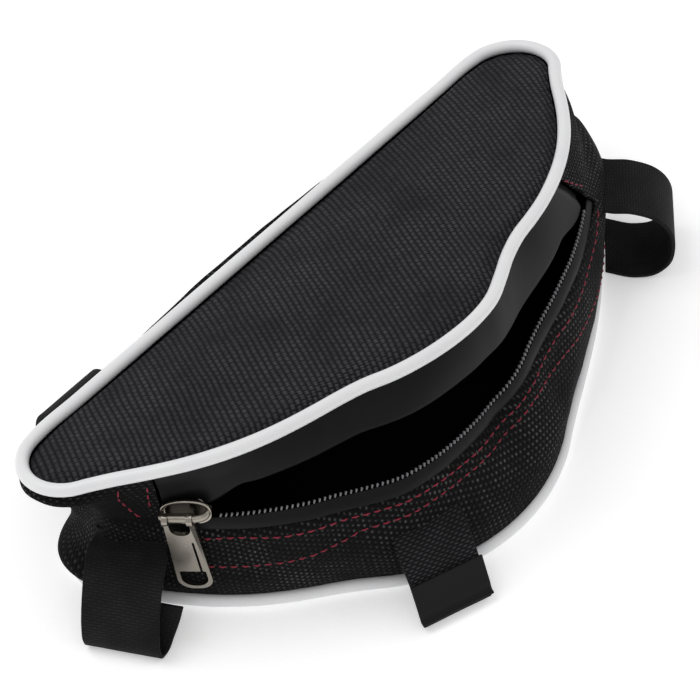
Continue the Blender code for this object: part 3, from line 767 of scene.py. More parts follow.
@dataclass
class BagForm:
    """Seams and walls that every piece takes its place from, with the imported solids' sizes."""

    back_plan: Outline = Outline(0.250, 0.1066, (0.017, 0.020), 0.073, -0.017, 0.0045)
    front_plan: Outline = Outline(0.2487, 0.086, (0.0161, 0.0161), 0.080, 0.0, 0.0072)
    back_shift_x: float = 0.010
    front_shift: tuple[float, float] = (0.0013, 0.0087)
    front_height: float = 0.0487
    front_lift: float = 0.0224
    gap: float = 0.0003
    piping_radius: float = 0.0022
    bulge_depth: float = 0.003
    lip_height: float = 0.036
    lip_inset: float = 0.018
    upper_tape_width: float = 0.012
    lower_tape_width: float = 0.005
    coil_width: float = 0.0024
    zip_left: int = 10
    zip_right: int = 34
    # Stations from which the upper tape reaches down to the lower one, at both ends of the zip
    closing_left: float = 13.9
    closing_right: float = 31.2
    closing_run: float = 2.0
    closing_left_share: float = 0.9
    # Lip below the zip: x_share, height_share, inset_share, bulge_share
    lip_rows: tuple[tuple[float, ...], ...] = (
        (-1.00, 0.98, 0.08, -0.30),
        (-0.92, 0.88, 0.22, 0.00),
        (-0.84, 0.94, 0.22, 0.30),
        (-0.66, 1.05, 0.08, 0.80),
        (-0.54, 1.05, 0.20, 1.00),
        (-0.46, 1.03, 0.40, 1.00),
        (-0.31, 0.98, 0.76, 1.00),
        (-0.08, 0.92, 1.00, 1.00),
        (0.14, 0.99, 0.73, 1.00),
        (0.31, 1.03, 0.46, 1.00),
        (0.48, 1.05, 0.28, 1.00),
        (0.64, 1.06, 0.19, 0.90),
        (0.88, 1.06, 0.28, 0.20),
        (1.00, 1.00, 0.46, -0.30),
    )
    # Upper tape: x_share, width_share
    tape_rows: tuple[tuple[float, ...], ...] = (
        (-0.92, 1.00),
        (-0.60, 1.15),
        (-0.20, 1.25),
        (0.10, 1.40),
        (0.40, 1.60),
        (0.65, 1.50),
    )
    # Lead of the front seam's stations over the back seam's: ring_share, stations
    twist_rows: tuple[tuple[float, ...], ...] = (
        (0.00, 0.0),
        (0.17, 0.0),
        (0.22, 0.4),
        (0.35, 0.0),
        (0.45, 0.0),
        (0.58, -1.4),
        (0.70, -3.2),
        (0.80, -2.4),
        (0.92, 0.0),
    )
    # Wave pressed into the front seam: x_share, reach_share, push_share
    wave: tuple[float, float, float] = (0.24, 0.12, 0.045)

    def __post_init__(self) -> None:
        """Lay out the seams and the lip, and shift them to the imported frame."""
        plan = self.back_plan.points()
        front_plan = self.front_plan.points()
        self.count = len(plan)
        self.apex = self.back_plan.tip_steps + self.back_plan.side_steps + self.back_plan.apex_steps
        place, reach, share = self.wave
        away = (front_plan[:, 0] / (self.front_plan.length / 2) - place) / reach
        push = share * self.front_plan.depth * np.exp(-away * away)
        push *= front_plan[:, 1] < -self.front_plan.tip_radii[0]
        flat = np.column_stack((front_plan, np.zeros(len(plan))))
        flat -= ring_outward(flat) * push[:, None]
        rise = self.front_height - self.front_lift * flat[:, 1] / self.front_plan.depth
        back = np.column_stack((plan, np.full(self.count, self.piping_radius)))
        back[:, 0] += self.back_shift_x
        front = flat + np.column_stack((np.zeros((self.count, 2)), rise))
        front[:, :2] += self.front_shift
        low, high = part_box("back_piping")
        self.shift = np.zeros(3)
        for axis in (0, 1):
            middle = (back[:, axis].min() + back[:, axis].max()) / 2
            self.shift[axis] = (low[axis] + high[axis]) / 2 - middle
        self.back = Ring(back + self.shift)
        self.front = Ring(front + self.shift)
        self.back_out = ring_outward(back)
        self.front_out = ring_outward(flat)
        stations = np.arange(self.count, dtype=float)
        key = plan[:, 0] / (self.back_plan.length / 2)
        columns = np.array(self.lip_rows).T
        heights, insets, bulges = (np.interp(key, columns[0], column) for column in columns[1:])
        foot, head = self.foot(stations), self.head(stations)
        zip_lip = self.back.points - self.back_out * (self.lip_inset * insets)[:, None]
        zip_lip[:, 2] = self.lip_height * heights
        share = ease(-plan[:, 1] / self.back_plan.tip_radii[0])[:, None]
        self.lip_points = (foot + head) / 2 * (1 - share) + zip_lip * share
        self.bulge = self.back_out * (self.bulge_depth * bulges)[:, None]
        columns = np.array(self.tape_rows).T
        room = np.linalg.norm(head - self.lip_points, axis=1)
        most = room - self.lower_tape_width - self.coil_width * 2 - self.gap * 6
        self.tape = np.minimum(self.upper_tape_width * np.interp(key, *columns), most)

    def twist(self, stations: np.ndarray) -> np.ndarray:
        """Lead of the front seam's stations over the back seam's."""
        columns = np.array(self.twist_rows).T
        points = np.interp(np.arange(self.count + 1) % self.count / (2 * self.apex), *columns)
        return np.interp(np.asarray(stations) % self.count, np.arange(self.count + 1), points)

    def out(self, stations: np.ndarray) -> np.ndarray:
        """Level unit vectors out of the bag."""
        return unit(self.back.of(self.back_out, stations))

    def foot(self, stations: np.ndarray) -> np.ndarray:
        """Lower edge of the gusset, just above the back piping's middle."""
        drop = self.piping_radius + self.gap
        return self.back.at(stations) + self.out(stations) * self.gap + (0.0, 0.0, drop)

    def head(self, stations: np.ndarray) -> np.ndarray:
        """Upper edge of the gusset and of the zip's upper tape, under the front piping."""
        ahead = np.asarray(stations) + self.twist(stations)
        out = unit(self.front.of(self.front_out, ahead))
        return self.front.at(ahead) + out * self.gap - (0.0, 0.0, self.piping_radius + self.gap)

    def lip(self, stations: np.ndarray) -> np.ndarray:
        """Edge of the gusset that the zip's lower tape stands on."""
        return self.back.of(self.lip_points, stations)

    def slope(self, stations: np.ndarray) -> np.ndarray:
        """Unit vectors up the zip's tapes."""
        return unit(self.head(stations) - self.lip(stations))

    def tape_width(self, stations: np.ndarray) -> np.ndarray:
        """Width of the upper tape, which meets the lower one where the zip closes."""
        width = self.back.of(self.tape, stations)
        room = np.linalg.norm(self.head(stations) - self.lip(stations), axis=1)
        closed = room - self.lower_tape_width - self.coil_width
        right = ease((stations - self.closing_right) / self.closing_run)
        left = self.closing_left_share * ease((self.closing_left - stations) / self.closing_run)
        near = np.maximum(right, left)
        return width + (closed - width) * near

    def wall(self, stations: np.ndarray, shares: np.ndarray) -> np.ndarray:
        """Points on the gusset, its share from 0 at the foot and 1 at the lip to 2 at the head."""
        foot, lip, head = self.foot(stations), self.lip(stations), self.head(stations)
        bulge = self.back.of(self.bulge, stations)
        low = np.clip(shares, 0.0, 1.0)[:, None]
        high = np.clip(shares - 1.0, 0.0, 1.0)[:, None]
        points = foot + (lip - foot) * low + (head - lip) * high
        return points + bulge * (np.sin(np.pi * low) + 0.5 * np.sin(np.pi * high))

    def level_share(self, stations: np.ndarray, heights: np.ndarray) -> np.ndarray:
        """Share of the wall at given heights."""
        foot, lip, head = (part(stations)[:, 2] for part in (self.foot, self.lip, self.head))
        low = np.clip((heights - foot) / (lip - foot), 0.0, 1.0)
        return low + np.clip((heights - lip) / (head - lip), 0.0, 1.0)

    def station(self, x_share: float, side: Side) -> float:
        """Station of the back seam at a share of half the bag's length."""
        if side is Side.BEFORE_ZIP:
            return self.back.walk(float(self.zip_left), -x_share * 0.025)
        want = self.back_shift_x + self.shift[0] + x_share * self.back_plan.length / 2
        first, last = self.back_plan.tip_steps // 2, 2 * self.apex - self.back_plan.tip_steps // 2
        if side is Side.STRAIGHT:
            first, last = 2 * self.apex, self.count
        run = np.arange(first, last + 1)
        places = self.back.points[run % self.count, 0]
        if side is Side.STRAIGHT:
            return float(np.interp(-want, -places, run))
        return float(np.interp(want, places, run))


# Cloth and piping


@dataclass
class Piping:
    """White piping sewn into both seams."""

    form: BagForm
    columns: int = 520
    sides: int = 20
    wobble: float = 0.00012

    def build(self, name: str, ring: Ring, seed: float) -> bpy.types.Object:
        """Round tube along a seam, shaped from a torus.

        Args:
            name: CAD node that the tube replaces.
            ring: Seam that it follows.
            seed: Offset of its slight unevenness.

        Returns:
            The piping.
        """
        tube = primitive(
            bpy.ops.mesh.primitive_torus_add,
            major_segments=self.columns,
            minor_segments=self.sides,
            major_radius=1.0,
            minor_radius=0.25,
        )
        tube.name = f"{name}_vinyl"
        tube.data.name = tube.name
        spots = spots_of(tube)
        arm = np.hypot(spots[:, 0], spots[:, 1]) - 1.0
        share = (np.arctan2(spots[:, 1], spots[:, 0]) / (2 * np.pi)) % 1.0
        stations = np.interp(share * ring.lengths[-1], ring.lengths, np.arange(self.form.count + 1))
        centres = ring.at(stations)
        along = unit(ring.at(stations + 0.05) - ring.at(stations - 0.05))
        side = unit(np.cross(along, (0.0, 0.0, 1.0)))
        up = np.cross(side, along)
        turn = np.arctan2(spots[:, 2], arm)[:, None]
        uneven = cloth_noise(centres, 0.022, seed)[:, None] * self.wobble
        radius = self.form.piping_radius + uneven
        spots = centres + (side * np.cos(turn) + up * np.sin(turn)) * radius
        place_spots(tube, spots)
        smooth(tube, 60.0)
        return seat(tube, PIPING_VINYL, Body.BAG, name)

    def assemble(self) -> None:
        """Make the piping of both seams."""
        self.build("back_piping", self.form.back, 3.0)
        self.build("front_piping", self.form.front, 8.0)


@dataclass
class Panels:
    """Front and back panels of woven cloth, held in the piping's seams."""

    form: BagForm
    columns: int = 360
    rows: int = 64
    thickness: float = 0.0013
    dome: float = 0.003
    edge_roll: float = 0.0022
    edge_reach: float = 0.0035
    back_inset: float = 0.0016
    back_roll: float = 0.0040
    pucker: float = 0.00016
    pucker_pitch: float = 0.0075
    pucker_reach: float = 0.006
    swell: float = 0.0007
    swell_start: float = 0.012

    def laid(self, ring: Ring, middle: np.ndarray, front: bool) -> Callable:
        """Surface of a panel from its seam, at share 0, to its middle, at share 1."""
        inset = self.form.piping_radius + self.form.gap if front else self.back_inset
        out_table = self.form.front_out if front else self.form.back_out

        def place(along: np.ndarray, inward: np.ndarray) -> np.ndarray:
            stations = along * self.form.count
            edge = ring.at(stations) - unit(ring.of(out_table, stations)) * inset
            if not front:
                edge[:, 2] = 0.0
            reach = np.linalg.norm(edge - middle, axis=1)
            spots = edge + (middle - edge) * inward[:, None]
            distance = inward * reach
            near = np.exp(-((distance / self.edge_reach) ** 2))
            walked = np.interp(stations % self.form.count, np.arange(self.form.count + 1), ring.lengths)
            ripple = np.sin(2 * np.pi * walked / self.pucker_pitch)
            if front:
                fade = np.clip(distance / self.swell_start, 0.0, 1.0)
                lift = self.dome * (1 - (1 - inward) ** 2) + self.thickness * 0.6
                lift -= self.edge_roll * near
                lift += cloth_noise(spots, 0.034, 5.0) * self.swell * fade
                lift += self.pucker * ripple * np.exp(-((distance / self.pucker_reach) ** 2))
                spots[:, 2] += lift
            else:
                spots[:, 2] += 0.0001 + self.back_roll * near
            return spots

        return place

    def build(self, name: str, ring: Ring, middle: np.ndarray, front: bool) -> bpy.types.Object:
        """Cloth sheet that fills a seam's outline."""
        sheet = grid_sheet(f"{name}_cloth", self.columns, self.rows, self.laid(ring, middle, front))
        merge_seams(sheet)
        if not front:
            with editing(sheet):
                bpy.ops.mesh.flip_normals()
        line_cloth(sheet, self.thickness, PANEL_CLOTH, LINING)
        smooth(sheet, 50.0)
        return seat(sheet, PANEL_CLOTH, Body.BAG, name)

    def assemble(self) -> None:
        """Make both panels."""
        form = self.form
        depth = form.front_plan.depth
        level = form.front_height + form.front_lift * 0.4
        middle = np.array((form.front_shift[0], form.front_shift[1] - depth * 0.4, level)) + form.shift
        self.build("front_panel", form.front, middle, True)
        middle = np.array((form.back_shift_x, -form.back_plan.depth * 0.4, 0.0)) + form.shift
        self.build("back_panel", form.back, middle, False)


@dataclass(frozen=True)
class Fold:
    """Crease or swell pressed into the side wall."""

    station: float
    share: float
    reach_along: float
    reach_up: float
    push: float


@dataclass
class SideWall:
    """Gusset cloth all round the bag, cut down to the zip's lip between the ends of the zip."""

    form: BagForm
    zip_columns: int = 190
    rest_columns: int = 300
    low_rows: int = 34
    high_rows: int = 22
    thickness: float = 0.0013
    hem_width: float = 0.006
    hem_lift: float = 0.00045
    hem_step: float = 0.0012
    lip_roll: float = 0.0009
    roll_reach: float = 0.0014
    soften_reach: float = 0.22
    foot_tuck: float = 0.0006
    tuck_reach: float = 0.06
    fine_share: float = 0.35
    swell: float = 0.00055
    foot_fade: float = 0.05
    head_fade: float = 0.10
    folds: tuple[Fold, ...] = (
        Fold(4.6, 1.82, 3.4, 0.15, 0.0046),
        Fold(3.4, 1.22, 3.0, 0.48, -0.0088),
        Fold(4.9, 0.17, 3.6, 0.15, 0.0054),
        Fold(2.6, 0.62, 2.2, 0.26, -0.0038),
        Fold(8.8, 1.10, 1.4, 0.10, -0.0014),
        Fold(8.6, 0.30, 1.6, 0.12, -0.0010),
        Fold(35.9, 0.84, 1.8, 0.50, 0.0040),
        Fold(36.4, 1.30, 1.3, 0.16, -0.0016),
        Fold(38.6, 1.62, 1.8, 0.13, 0.0016),
        Fold(39.2, 1.25, 2.0, 0.10, -0.0024),
        Fold(39.4, 1.00, 1.5, 0.50, -0.0038),
        Fold(38.0, 0.45, 2.4, 0.12, -0.0010),
        Fold(13.5, 0.25, 2.5, 0.14, 0.0006),
        Fold(27.0, 0.35, 3.0, 0.18, 0.0007),
        Fold(52.6, 1.89, 4.8, 0.10, 0.0070),
    )

    def surface(self, stations: np.ndarray, shares: np.ndarray) -> np.ndarray:
        """Points on the wall's outer face with its folds, hem and unevenness."""
        form = self.form
        spots = form.wall(stations, shares)
        wrapped = stations % form.count
        inside = ease(np.minimum(wrapped - form.zip_left, form.zip_right - wrapped) + 1.0)
        soften = (1 - inside) * np.exp(-(((shares - 1) / self.soften_reach) ** 2))
        blurred = sum(form.wall(stations, np.clip(shares + step, 0, 2)) for step in (-0.2, -0.1, 0.1, 0.2))
        spots += (blurred / 4 - spots) * soften[:, None]
        push = np.zeros(len(spots))
        for fold in self.folds:
            gap = (wrapped - fold.station + form.count / 2) % form.count - form.count / 2
            near = np.exp(-((gap / fold.reach_along) ** 2) - ((shares - fold.share) / fold.reach_up) ** 2)
            push += fold.push * near * ease((2 - shares) / self.head_fade) * ease(shares / self.foot_fade)
        edge = np.minimum(ease(shares / 0.15), ease((2 - shares) / 0.15))
        push += cloth_noise(spots, 0.019, 2.0) * self.swell * edge
        push += cloth_noise(spots, 0.007, 9.0) * self.swell * self.fine_share * edge
        height = np.linalg.norm(form.lip(stations) - form.foot(stations), axis=1)
        below = (1 - shares) * height
        hem = ease((self.hem_width - below) / self.hem_step) * ease(below / 0.0001 + 1.0)
        roll = np.sqrt(np.clip(1 - np.clip(below, 0, None) / self.roll_reach, 0.0, 1.0))
        push += inside * (below > -1e-6) * (self.hem_lift * hem - self.lip_roll * roll**2)
        push -= self.foot_tuck * np.exp(-((shares / self.tuck_reach) ** 2))
        return spots + form.out(stations) * push[:, None]

    def place(self, along: np.ndarray, up: np.ndarray) -> np.ndarray:
        """Lay the grid on the wall, with the zip's ends on its columns and the lip on a row."""
        form = self.form
        total = self.zip_columns + self.rest_columns
        split = self.zip_columns / total
        window = form.zip_left + (form.zip_right - form.zip_left) * along / split
        rest = form.zip_right + (form.count + form.zip_left - form.zip_right) * (along - split) / (1 - split)
        stations = np.where(along <= split + 1e-9, window, rest)
        level = up * (self.low_rows + self.high_rows)
        above = 1 + (level - self.low_rows) / self.high_rows
        shares = np.where(level <= self.low_rows + 1e-6, level / self.low_rows, above)
        return self.surface(stations, shares)

    def assemble(self) -> bpy.types.Object:
        """Make the wall: lay the grid, cut the zip's window, close the seam and thicken it."""
        columns = self.zip_columns + self.rest_columns
        rows = self.low_rows + self.high_rows
        sheet = grid_sheet("gusset_cloth", columns, rows, self.place)
        only(sheet)
        bpy.ops.object.mode_set(mode="EDIT")
        bpy.ops.mesh.select_all(action="DESELECT")
        bpy.ops.object.mode_set(mode="OBJECT")
        for index, face in enumerate(sheet.data.polygons):
            row, column = divmod(index, columns)
            face.select = row >= self.low_rows and column < self.zip_columns
        bpy.ops.object.mode_set(mode="EDIT")
        bpy.ops.mesh.select_mode(type="FACE")
        bpy.ops.mesh.delete(type="FACE")
        bpy.ops.object.mode_set(mode="OBJECT")
        merge_seams(sheet)
        line_cloth(sheet, self.thickness, WALL_CLOTH, LINING)
        smooth(sheet, 50.0)
        return seat(sheet, WALL_CLOTH, Body.BAG, "gusset")


# Zip


@dataclass
class ZipTapes:
    """Coated tapes along both edges of the open zip."""

    form: BagForm
    columns: int = 240
    thickness: float = 0.0007
    bow: float = 0.0007
    lower_bow: float = 0.0005
    upper_swell: float = 0.0003
    lower_swell: float = 0.0002
    curl: float = 0.0012
    slider_room: float = 0.0017
    slider_end: float = 14.6
    slider_fade: float = 2.2
    end_tuck: float = 0.0022
    end_start: float = 33.3
    end_fade: float = 0.6

    def stations(self, along: np.ndarray) -> np.ndarray:
        """Stations just clear of both ends of the zip's window."""
        form = self.form
        start = form.back.walk(float(form.zip_left), 2 * form.gap)
        stop = form.back.walk(float(form.zip_right), -2 * form.gap)
        return start + (stop - start) * along

    def upper(self, along: np.ndarray, down: np.ndarray) -> np.ndarray:
        """Upper tape: hangs from the front seam, bowed, its free edge curled inwards."""
        form = self.form
        stations = self.stations(along)
        out = form.out(stations)
        width = form.tape_width(stations)
        spots = form.head(stations) - form.slope(stations) * (width * (1 - down))[:, None]
        hang = 1 - down
        push = self.bow * np.sin(np.pi * hang) - self.curl * ease((hang - 0.84) / 0.16) ** 2
        near_slider = ease((self.slider_end - stations) / self.slider_fade)
        push -= self.slider_room * near_slider * ease(hang / 0.5)
        push -= self.end_tuck * ease((stations - self.end_start) / self.end_fade)
        push += cloth_noise(spots, 0.02, 4.0) * self.upper_swell
        return spots + out * push[:, None]

    def lower(self, along: np.ndarray, up: np.ndarray) -> np.ndarray:
        """Lower tape: stands on the gusset's lip, its face rounded."""
        form = self.form
        stations = self.stations(along)
        slope = form.slope(stations)
        spots = form.lip(stations) + slope * (form.gap + form.lower_tape_width * up)[:, None]
        push = self.lower_bow * np.sin(np.pi * up) + cloth_noise(spots, 0.025, 6.0) * self.lower_swell
        return spots + form.out(stations) * push[:, None]

    def assemble(self) -> None:
        """Make both tapes."""
        for name, place, rows in (("zip_tape_upper", self.upper, 20), ("zip_tape_lower", self.lower, 10)):
            tape = grid_sheet(f"{name}_cloth", self.columns, rows, place)
            add_modifier(tape, "SOLIDIFY", thickness=self.thickness, offset=-1.0)
            add_modifier(tape, "BEVEL", width=0.0002, segments=2, limit_method="ANGLE", angle_limit=1.0)
            smooth(tape, 50.0)
            seat(tape, ZIP_TAPE, Body.BAG, name)


@dataclass
class ZipTeeth:
    """Coils of nylon teeth on the edges of both tapes."""

    form: BagForm
    pitch: float = 0.0017
    length: float = 0.0012
    width: float = 0.00068
    height: float = 0.0009
    lean: float = 24.0
    slider_room: float = 0.017
    hidden_run: float = 0.040
    closed_run: float = 0.006
    upper_inside: float = 0.0034
    lower_inside: float = 0.0004
    upper_rise: float = 0.0016

    def tooth(self) -> bpy.types.Object:
        """One loop of the coil, seen as a rounded head on a narrow neck."""
        size = (self.width, self.length, self.height)
        tooth = primitive(bpy.ops.mesh.primitive_cube_add, size=1.0, scale=size)
        bpy.ops.object.transform_apply(location=False, rotation=False, scale=True)
        with editing(tooth):
            bpy.ops.mesh.bevel(offset=0.0002, segments=2, profile=0.5)
        spots = spots_of(tooth)
        neck = np.clip(0.5 - spots[:, 1] / self.length, 0.0, 1.0)
        spots[:, 0] *= 1 - 0.35 * neck
        place_spots(tooth, spots)
        smooth(tooth, 60.0)
        return tooth

    def row(self, name: str, tooth: bpy.types.Object, lower: bool) -> None:
        """Row of teeth along one tape."""
        form = self.form
        start = form.back.walk(float(form.zip_left), self.slider_room if lower else self.hidden_run)
        stop = form.back.walk(float(form.zip_right), -self.closed_run)
        fine = np.linspace(start, stop, 1200)
        line = self.line(fine, lower)
        run = lengths_along(line)
        count = int(run[-1] / self.pitch)
        stations = np.interp((np.arange(count) + 0.5) * run[-1] / count, run, fine)
        centres = self.line(stations, lower)
        along = unit(self.line(stations + 0.05, lower) - self.line(stations - 0.05, lower))
        up = form.slope(stations) * (1 if lower else -1)
        lean = math.radians(self.lean if lower else -self.lean)
        places = []
        for centre, x, y in zip(centres, along, up):
            y = unit(y - x * np.dot(x, y))
            tilted = y * math.cos(lean) + x * math.sin(lean)
            side = x * math.cos(lean) - y * math.sin(lean)
            places.append(frame_matrix(centre, side, tilted, np.cross(side, tilted)))
        teeth = join_copies(f"{name}_teeth", tooth, places, keep_model=lower)
        seat(teeth, TOOTH_NYLON, Body.BAG, name)

    def line(self, stations: np.ndarray, lower: bool) -> np.ndarray:
        """Middle line of a coil."""
        form = self.form
        slope = form.slope(stations)
        half = self.length / 2
        if lower:
            root = form.lip(stations) + slope * (form.gap + form.lower_tape_width + self.length * 0.35)
            return root - form.out(stations) * self.lower_inside
        width = form.tape_width(stations) + form.gap + half
        inside = form.out(stations) * self.upper_inside
        return form.head(stations) - slope * (width - self.upper_rise)[:, None] - inside

    def assemble(self) -> None:
        """Make both rows."""
        tooth = self.tooth()
        self.row("zip_coil_lower", tooth, True)
        self.row("zip_coil_upper", tooth, False)


@dataclass
class ZipSlider:
    """Slider body with its bridge, and the pull that hangs from it."""

    form: BagForm
    hinge: np.ndarray
    along: np.ndarray
    length: float = 0.0161
    width: float = 0.0100
    thickness: float = 0.0046
    slot: float = 0.0022
    bridge_rise: float = 0.0027
    bridge_radius: float = 0.0009
    bridge_left: float = 0.0078
    bridge_right: float = 0.0071
    body_shift: float = -0.0004
    zip_margin: float = 0.0012
    pull_bottom: float = -0.0332
    pull_top: float = 0.0023
    pull_width: float = 0.0112
    pull_thickness: float = 0.0014
    pull_bore: float = 0.00145
    pull_wall: float = 0.0006
    pull_rim: float = 0.0013
    pull_skew: float = 1.8
    pull_shift: float = -0.0025
    window_length: float = 0.0072
    window_corners: tuple[float, float] = (0.0038, 0.0004)
    eye_place: float = -0.0028
    eye_length: float = 0.0086
    eye_corner: float = 0.0034
    slit_place: tuple[float, float] = (0.0030, -0.0180)
    slit_size: tuple[float, float] = (0.0008, 0.0150)
    slit_corner: float = 0.0003
    knuckle_width: float = 0.0021
    taper: tuple[float, float] = (0.85, 0.17)

    def __post_init__(self) -> None:
        """Find the slider's own axes from the zip beneath it."""
        form = self.form
        station = form.back.walk(float(form.zip_left), self.length / 2 + self.zip_margin)
        slope = form.slope(np.array([station]))[0]
        self.out = unit(np.cross(self.along, slope))
        self.up = np.cross(self.out, self.along)
        self.centre = self.hinge + self.along * self.body_shift
        self.centre = self.centre - self.out * (self.thickness / 2 + self.bridge_rise)

    def plate(self, name: str, low: float, high: float, scale: float) -> bpy.types.Object:
        """Oval plate between two heights, dished on its outer face."""
        plate = primitive(
            bpy.ops.mesh.primitive_cylinder_add, vertices=56, radius=0.5, depth=1.0, end_fill_type="NGON"
        )
        plate.name = name
        spots = spots_of(plate)
        turn = np.arctan2(spots[:, 1], spots[:, 0])
        nose = 1 - 0.14 * np.clip(-np.cos(turn), 0, 1)
        spots[:, 0] = np.sign(np.cos(turn)) * np.abs(np.cos(turn)) ** 0.72 * self.length / 2 * scale
        spots[:, 1] = np.sign(np.sin(turn)) * np.abs(np.sin(turn)) ** 0.8 * self.width / 2 * nose * scale
        spots[:, 2] = np.where(spots[:, 2] > 0, high, low)
        place_spots(plate, spots)
        for finish in (GUNMETAL, RECESS_PAINTED_SHADE):
            plate.data.materials.append(finish.material())
        for face in plate.data.polygons:
            face.select = face.normal.z > 0.9 if high > 0 else face.normal.z < -0.9
        bpy.ops.object.mode_set(mode="EDIT")
        bpy.ops.mesh.select_mode(type="FACE")
        bpy.ops.mesh.inset(thickness=0.0008)
        bpy.ops.mesh.inset(thickness=0.0005, depth=-0.0009)
        # The dish's inner faces get the darker finish: painted shade in the recess
        plate.active_material_index = 1
        bpy.ops.object.material_slot_assign()
        bpy.ops.object.mode_set(mode="OBJECT")
        add_modifier(plate, "BEVEL", width=0.00032, segments=3, limit_method="ANGLE", angle_limit=0.6)
        return plate

    def bridge(self) -> bpy.types.Object:
        """Bridge over the outer plate, a bent rod with its feet in the plate."""
        rod = primitive(
            bpy.ops.mesh.primitive_torus_add,
            major_segments=64,
            minor_segments=14,
            major_radius=1.0,
            minor_radius=0.25,
        )
        spots = spots_of(rod)
        arm = np.hypot(spots[:, 0], spots[:, 1]) - 1.0
        turn = np.arctan2(spots[:, 1], spots[:, 0])
        around = np.arctan2(spots[:, 2], arm)
        right = np.cos(turn) > 0
        span = np.where(right, self.bridge_right, self.bridge_left)
        sweep = np.where(right, 0.75, 0.2)
        rise = self.thickness / 2 + self.bridge_rise
        arch = np.sign(np.sin(turn)) * np.abs(np.sin(turn)) ** np.where(right, 0.55, 0.35)
        bent = np.column_stack((
            np.sign(np.cos(turn)) * np.abs(np.cos(turn)) ** sweep * span,
            np.zeros(len(turn)),
            np.where(np.sin(turn) > 0, 1.0, 0.12) * arch * rise,
        ))
        radial = unit(np.column_stack((np.cos(turn), np.zeros(len(turn)), np.sin(turn))))
        thick = self.bridge_radius
        spots = bent + radial * (np.cos(around) * thick)[:, None]
        spots[:, 1] += np.sin(around) * thick * 1.45
        place_spots(rod, spots)
        face_outwards(rod)
        rod.data.materials.append(SATIN_METAL.material())
        return rod

    def body(self) -> None:
        """Join the plates, the post and the bridge, and set them on the zip."""
        half, slot = self.thickness / 2, self.slot / 2
        parts = [self.plate("zip_slider_metal", slot, half, 1.0), self.plate("inner", -half, -slot, 0.66)]
        post = primitive(
            bpy.ops.mesh.primitive_cylinder_add, vertices=20, radius=0.0009, depth=self.slot * 1.2
        )
        spots = spots_of(post) * (1.8, 0.9, 1.0)
        place_spots(post, spots)
        post.data.materials.append(GUNMETAL.material())
        parts += [post, self.bridge()]
        for part in parts[1:]:
            part.select_set(True)
        parts[0].select_set(True)
        bpy.context.view_layer.objects.active = parts[0]
        bpy.ops.object.join()
        slider = parts[0]
        slider.data.transform(frame_matrix(self.centre, self.along, self.up, self.out))
        smooth(slider, 35.0)
        seat(slider, GUNMETAL, Body.BAG, "zip_slider")

    def cutter(
        self, centre: Sequence[float], size: Sequence[float], corner: float, upper: float = 0.0
    ) -> bpy.types.Object:
        """Block with rounded upright corners that cuts an opening in the pull.

        Args:
            centre: Middle of the block.
            size: Its width, length and thickness.
            corner: Radius of its lower corners.
            upper: Radius of its upper corners, the same as the lower ones where none is given.

        Returns:
            The block.
        """
        block = primitive(bpy.ops.mesh.primitive_cube_add, size=1.0, scale=size, location=centre)
        bpy.ops.object.transform_apply(location=True, rotation=False, scale=True)
        self.round_corners(block, corner, lambda spot: spot.y < centre[1])
        self.round_corners(block, upper or corner, lambda spot: spot.y > centre[1] + size[1] * 0.49)
        return block

    def round_corners(
        self, block: bpy.types.Object, radius: float, wanted: Callable[[Vector], bool]
    ) -> None:
        """Bevel the edges that run along Z and whose middle is wanted."""
        vertices = block.data.vertices
        only(block)
        bpy.ops.object.mode_set(mode="EDIT")
        bpy.ops.mesh.select_all(action="DESELECT")
        bpy.ops.mesh.select_mode(type="EDGE")
        bpy.ops.object.mode_set(mode="OBJECT")
        for edge in block.data.edges:
            first, last = (vertices[index].co for index in edge.vertices)
            upright = abs(first.z - last.z) > 1e-5 and (first.xy - last.xy).length < 1e-6
            edge.select = upright and wanted((first + last) / 2)
        bpy.ops.object.mode_set(mode="EDIT")
        bpy.ops.mesh.bevel(offset=radius, segments=10, profile=0.5, affect="EDGES")
        bpy.ops.object.mode_set(mode="OBJECT")

    def cut(self, piece: bpy.types.Object, tool: bpy.types.Object, operation: str = "DIFFERENCE") -> None:
        """Cut or join a tool into a piece and remove the tool."""
        add_modifier(piece, "BOOLEAN", operation=operation, object=tool, solver="EXACT")
        bpy.data.objects.remove(tool)

    def pull(self, down: np.ndarray) -> None:
        """Pull tab: a plate with an eye, a slit, a window and two rolled knuckles."""
        bottom, top = self.pull_bottom, self.pull_top
        middle = (top + bottom) / 2
        size = (self.pull_width, top - bottom, self.pull_thickness)
        tab = primitive(bpy.ops.mesh.primitive_cube_add, size=1.0, scale=size, location=(0.0, middle, 0.0))
        tab.name = "zip_pull_metal"
        tab.data.name = tab.name
        bpy.ops.object.transform_apply(location=True, rotation=False, scale=True)
        self.round_corners(tab, self.pull_width * 0.42, lambda spot: spot.y < middle)
        self.round_corners(tab, self.pull_width * 0.25, lambda spot: spot.y > top - 0.0005)
        through = 0.01
        window = (self.pull_width - 2 * self.pull_rim, self.window_length, through)
        centre = (0.0, bottom + self.pull_rim + self.window_length / 2, 0.0)
        self.cut(tab, self.cutter(centre, window, *self.window_corners))
        eye = (self.pull_width * 0.68, self.eye_length, through)
        self.cut(tab, self.cutter((0.0, self.eye_place, 0.0), eye, self.eye_corner))
        slit = (*self.slit_size, through)
        self.cut(tab, self.cutter((*self.slit_place, 0.0), slit, self.slit_corner))
        for side in (-1, 1):
            self.cut(tab, self.knuckle(side), "UNION")
        self.cut(tab, self.bore())
        add_modifier(tab, "BEVEL", width=0.00028, segments=3, limit_method="ANGLE", angle_limit=0.7)
        spots = spots_of(tab)
        spots[:, 0] *= self.taper[0] + self.taper[1] * spots[:, 1] / bottom
        spots[:, 0] += self.pull_shift - spots[:, 1] * math.tan(math.radians(self.pull_skew))
        place_spots(tab, spots)
        tab.data.transform(frame_matrix(self.hinge, self.along, -down, np.cross(self.along, -down)))
        smooth(tab, 35.0)
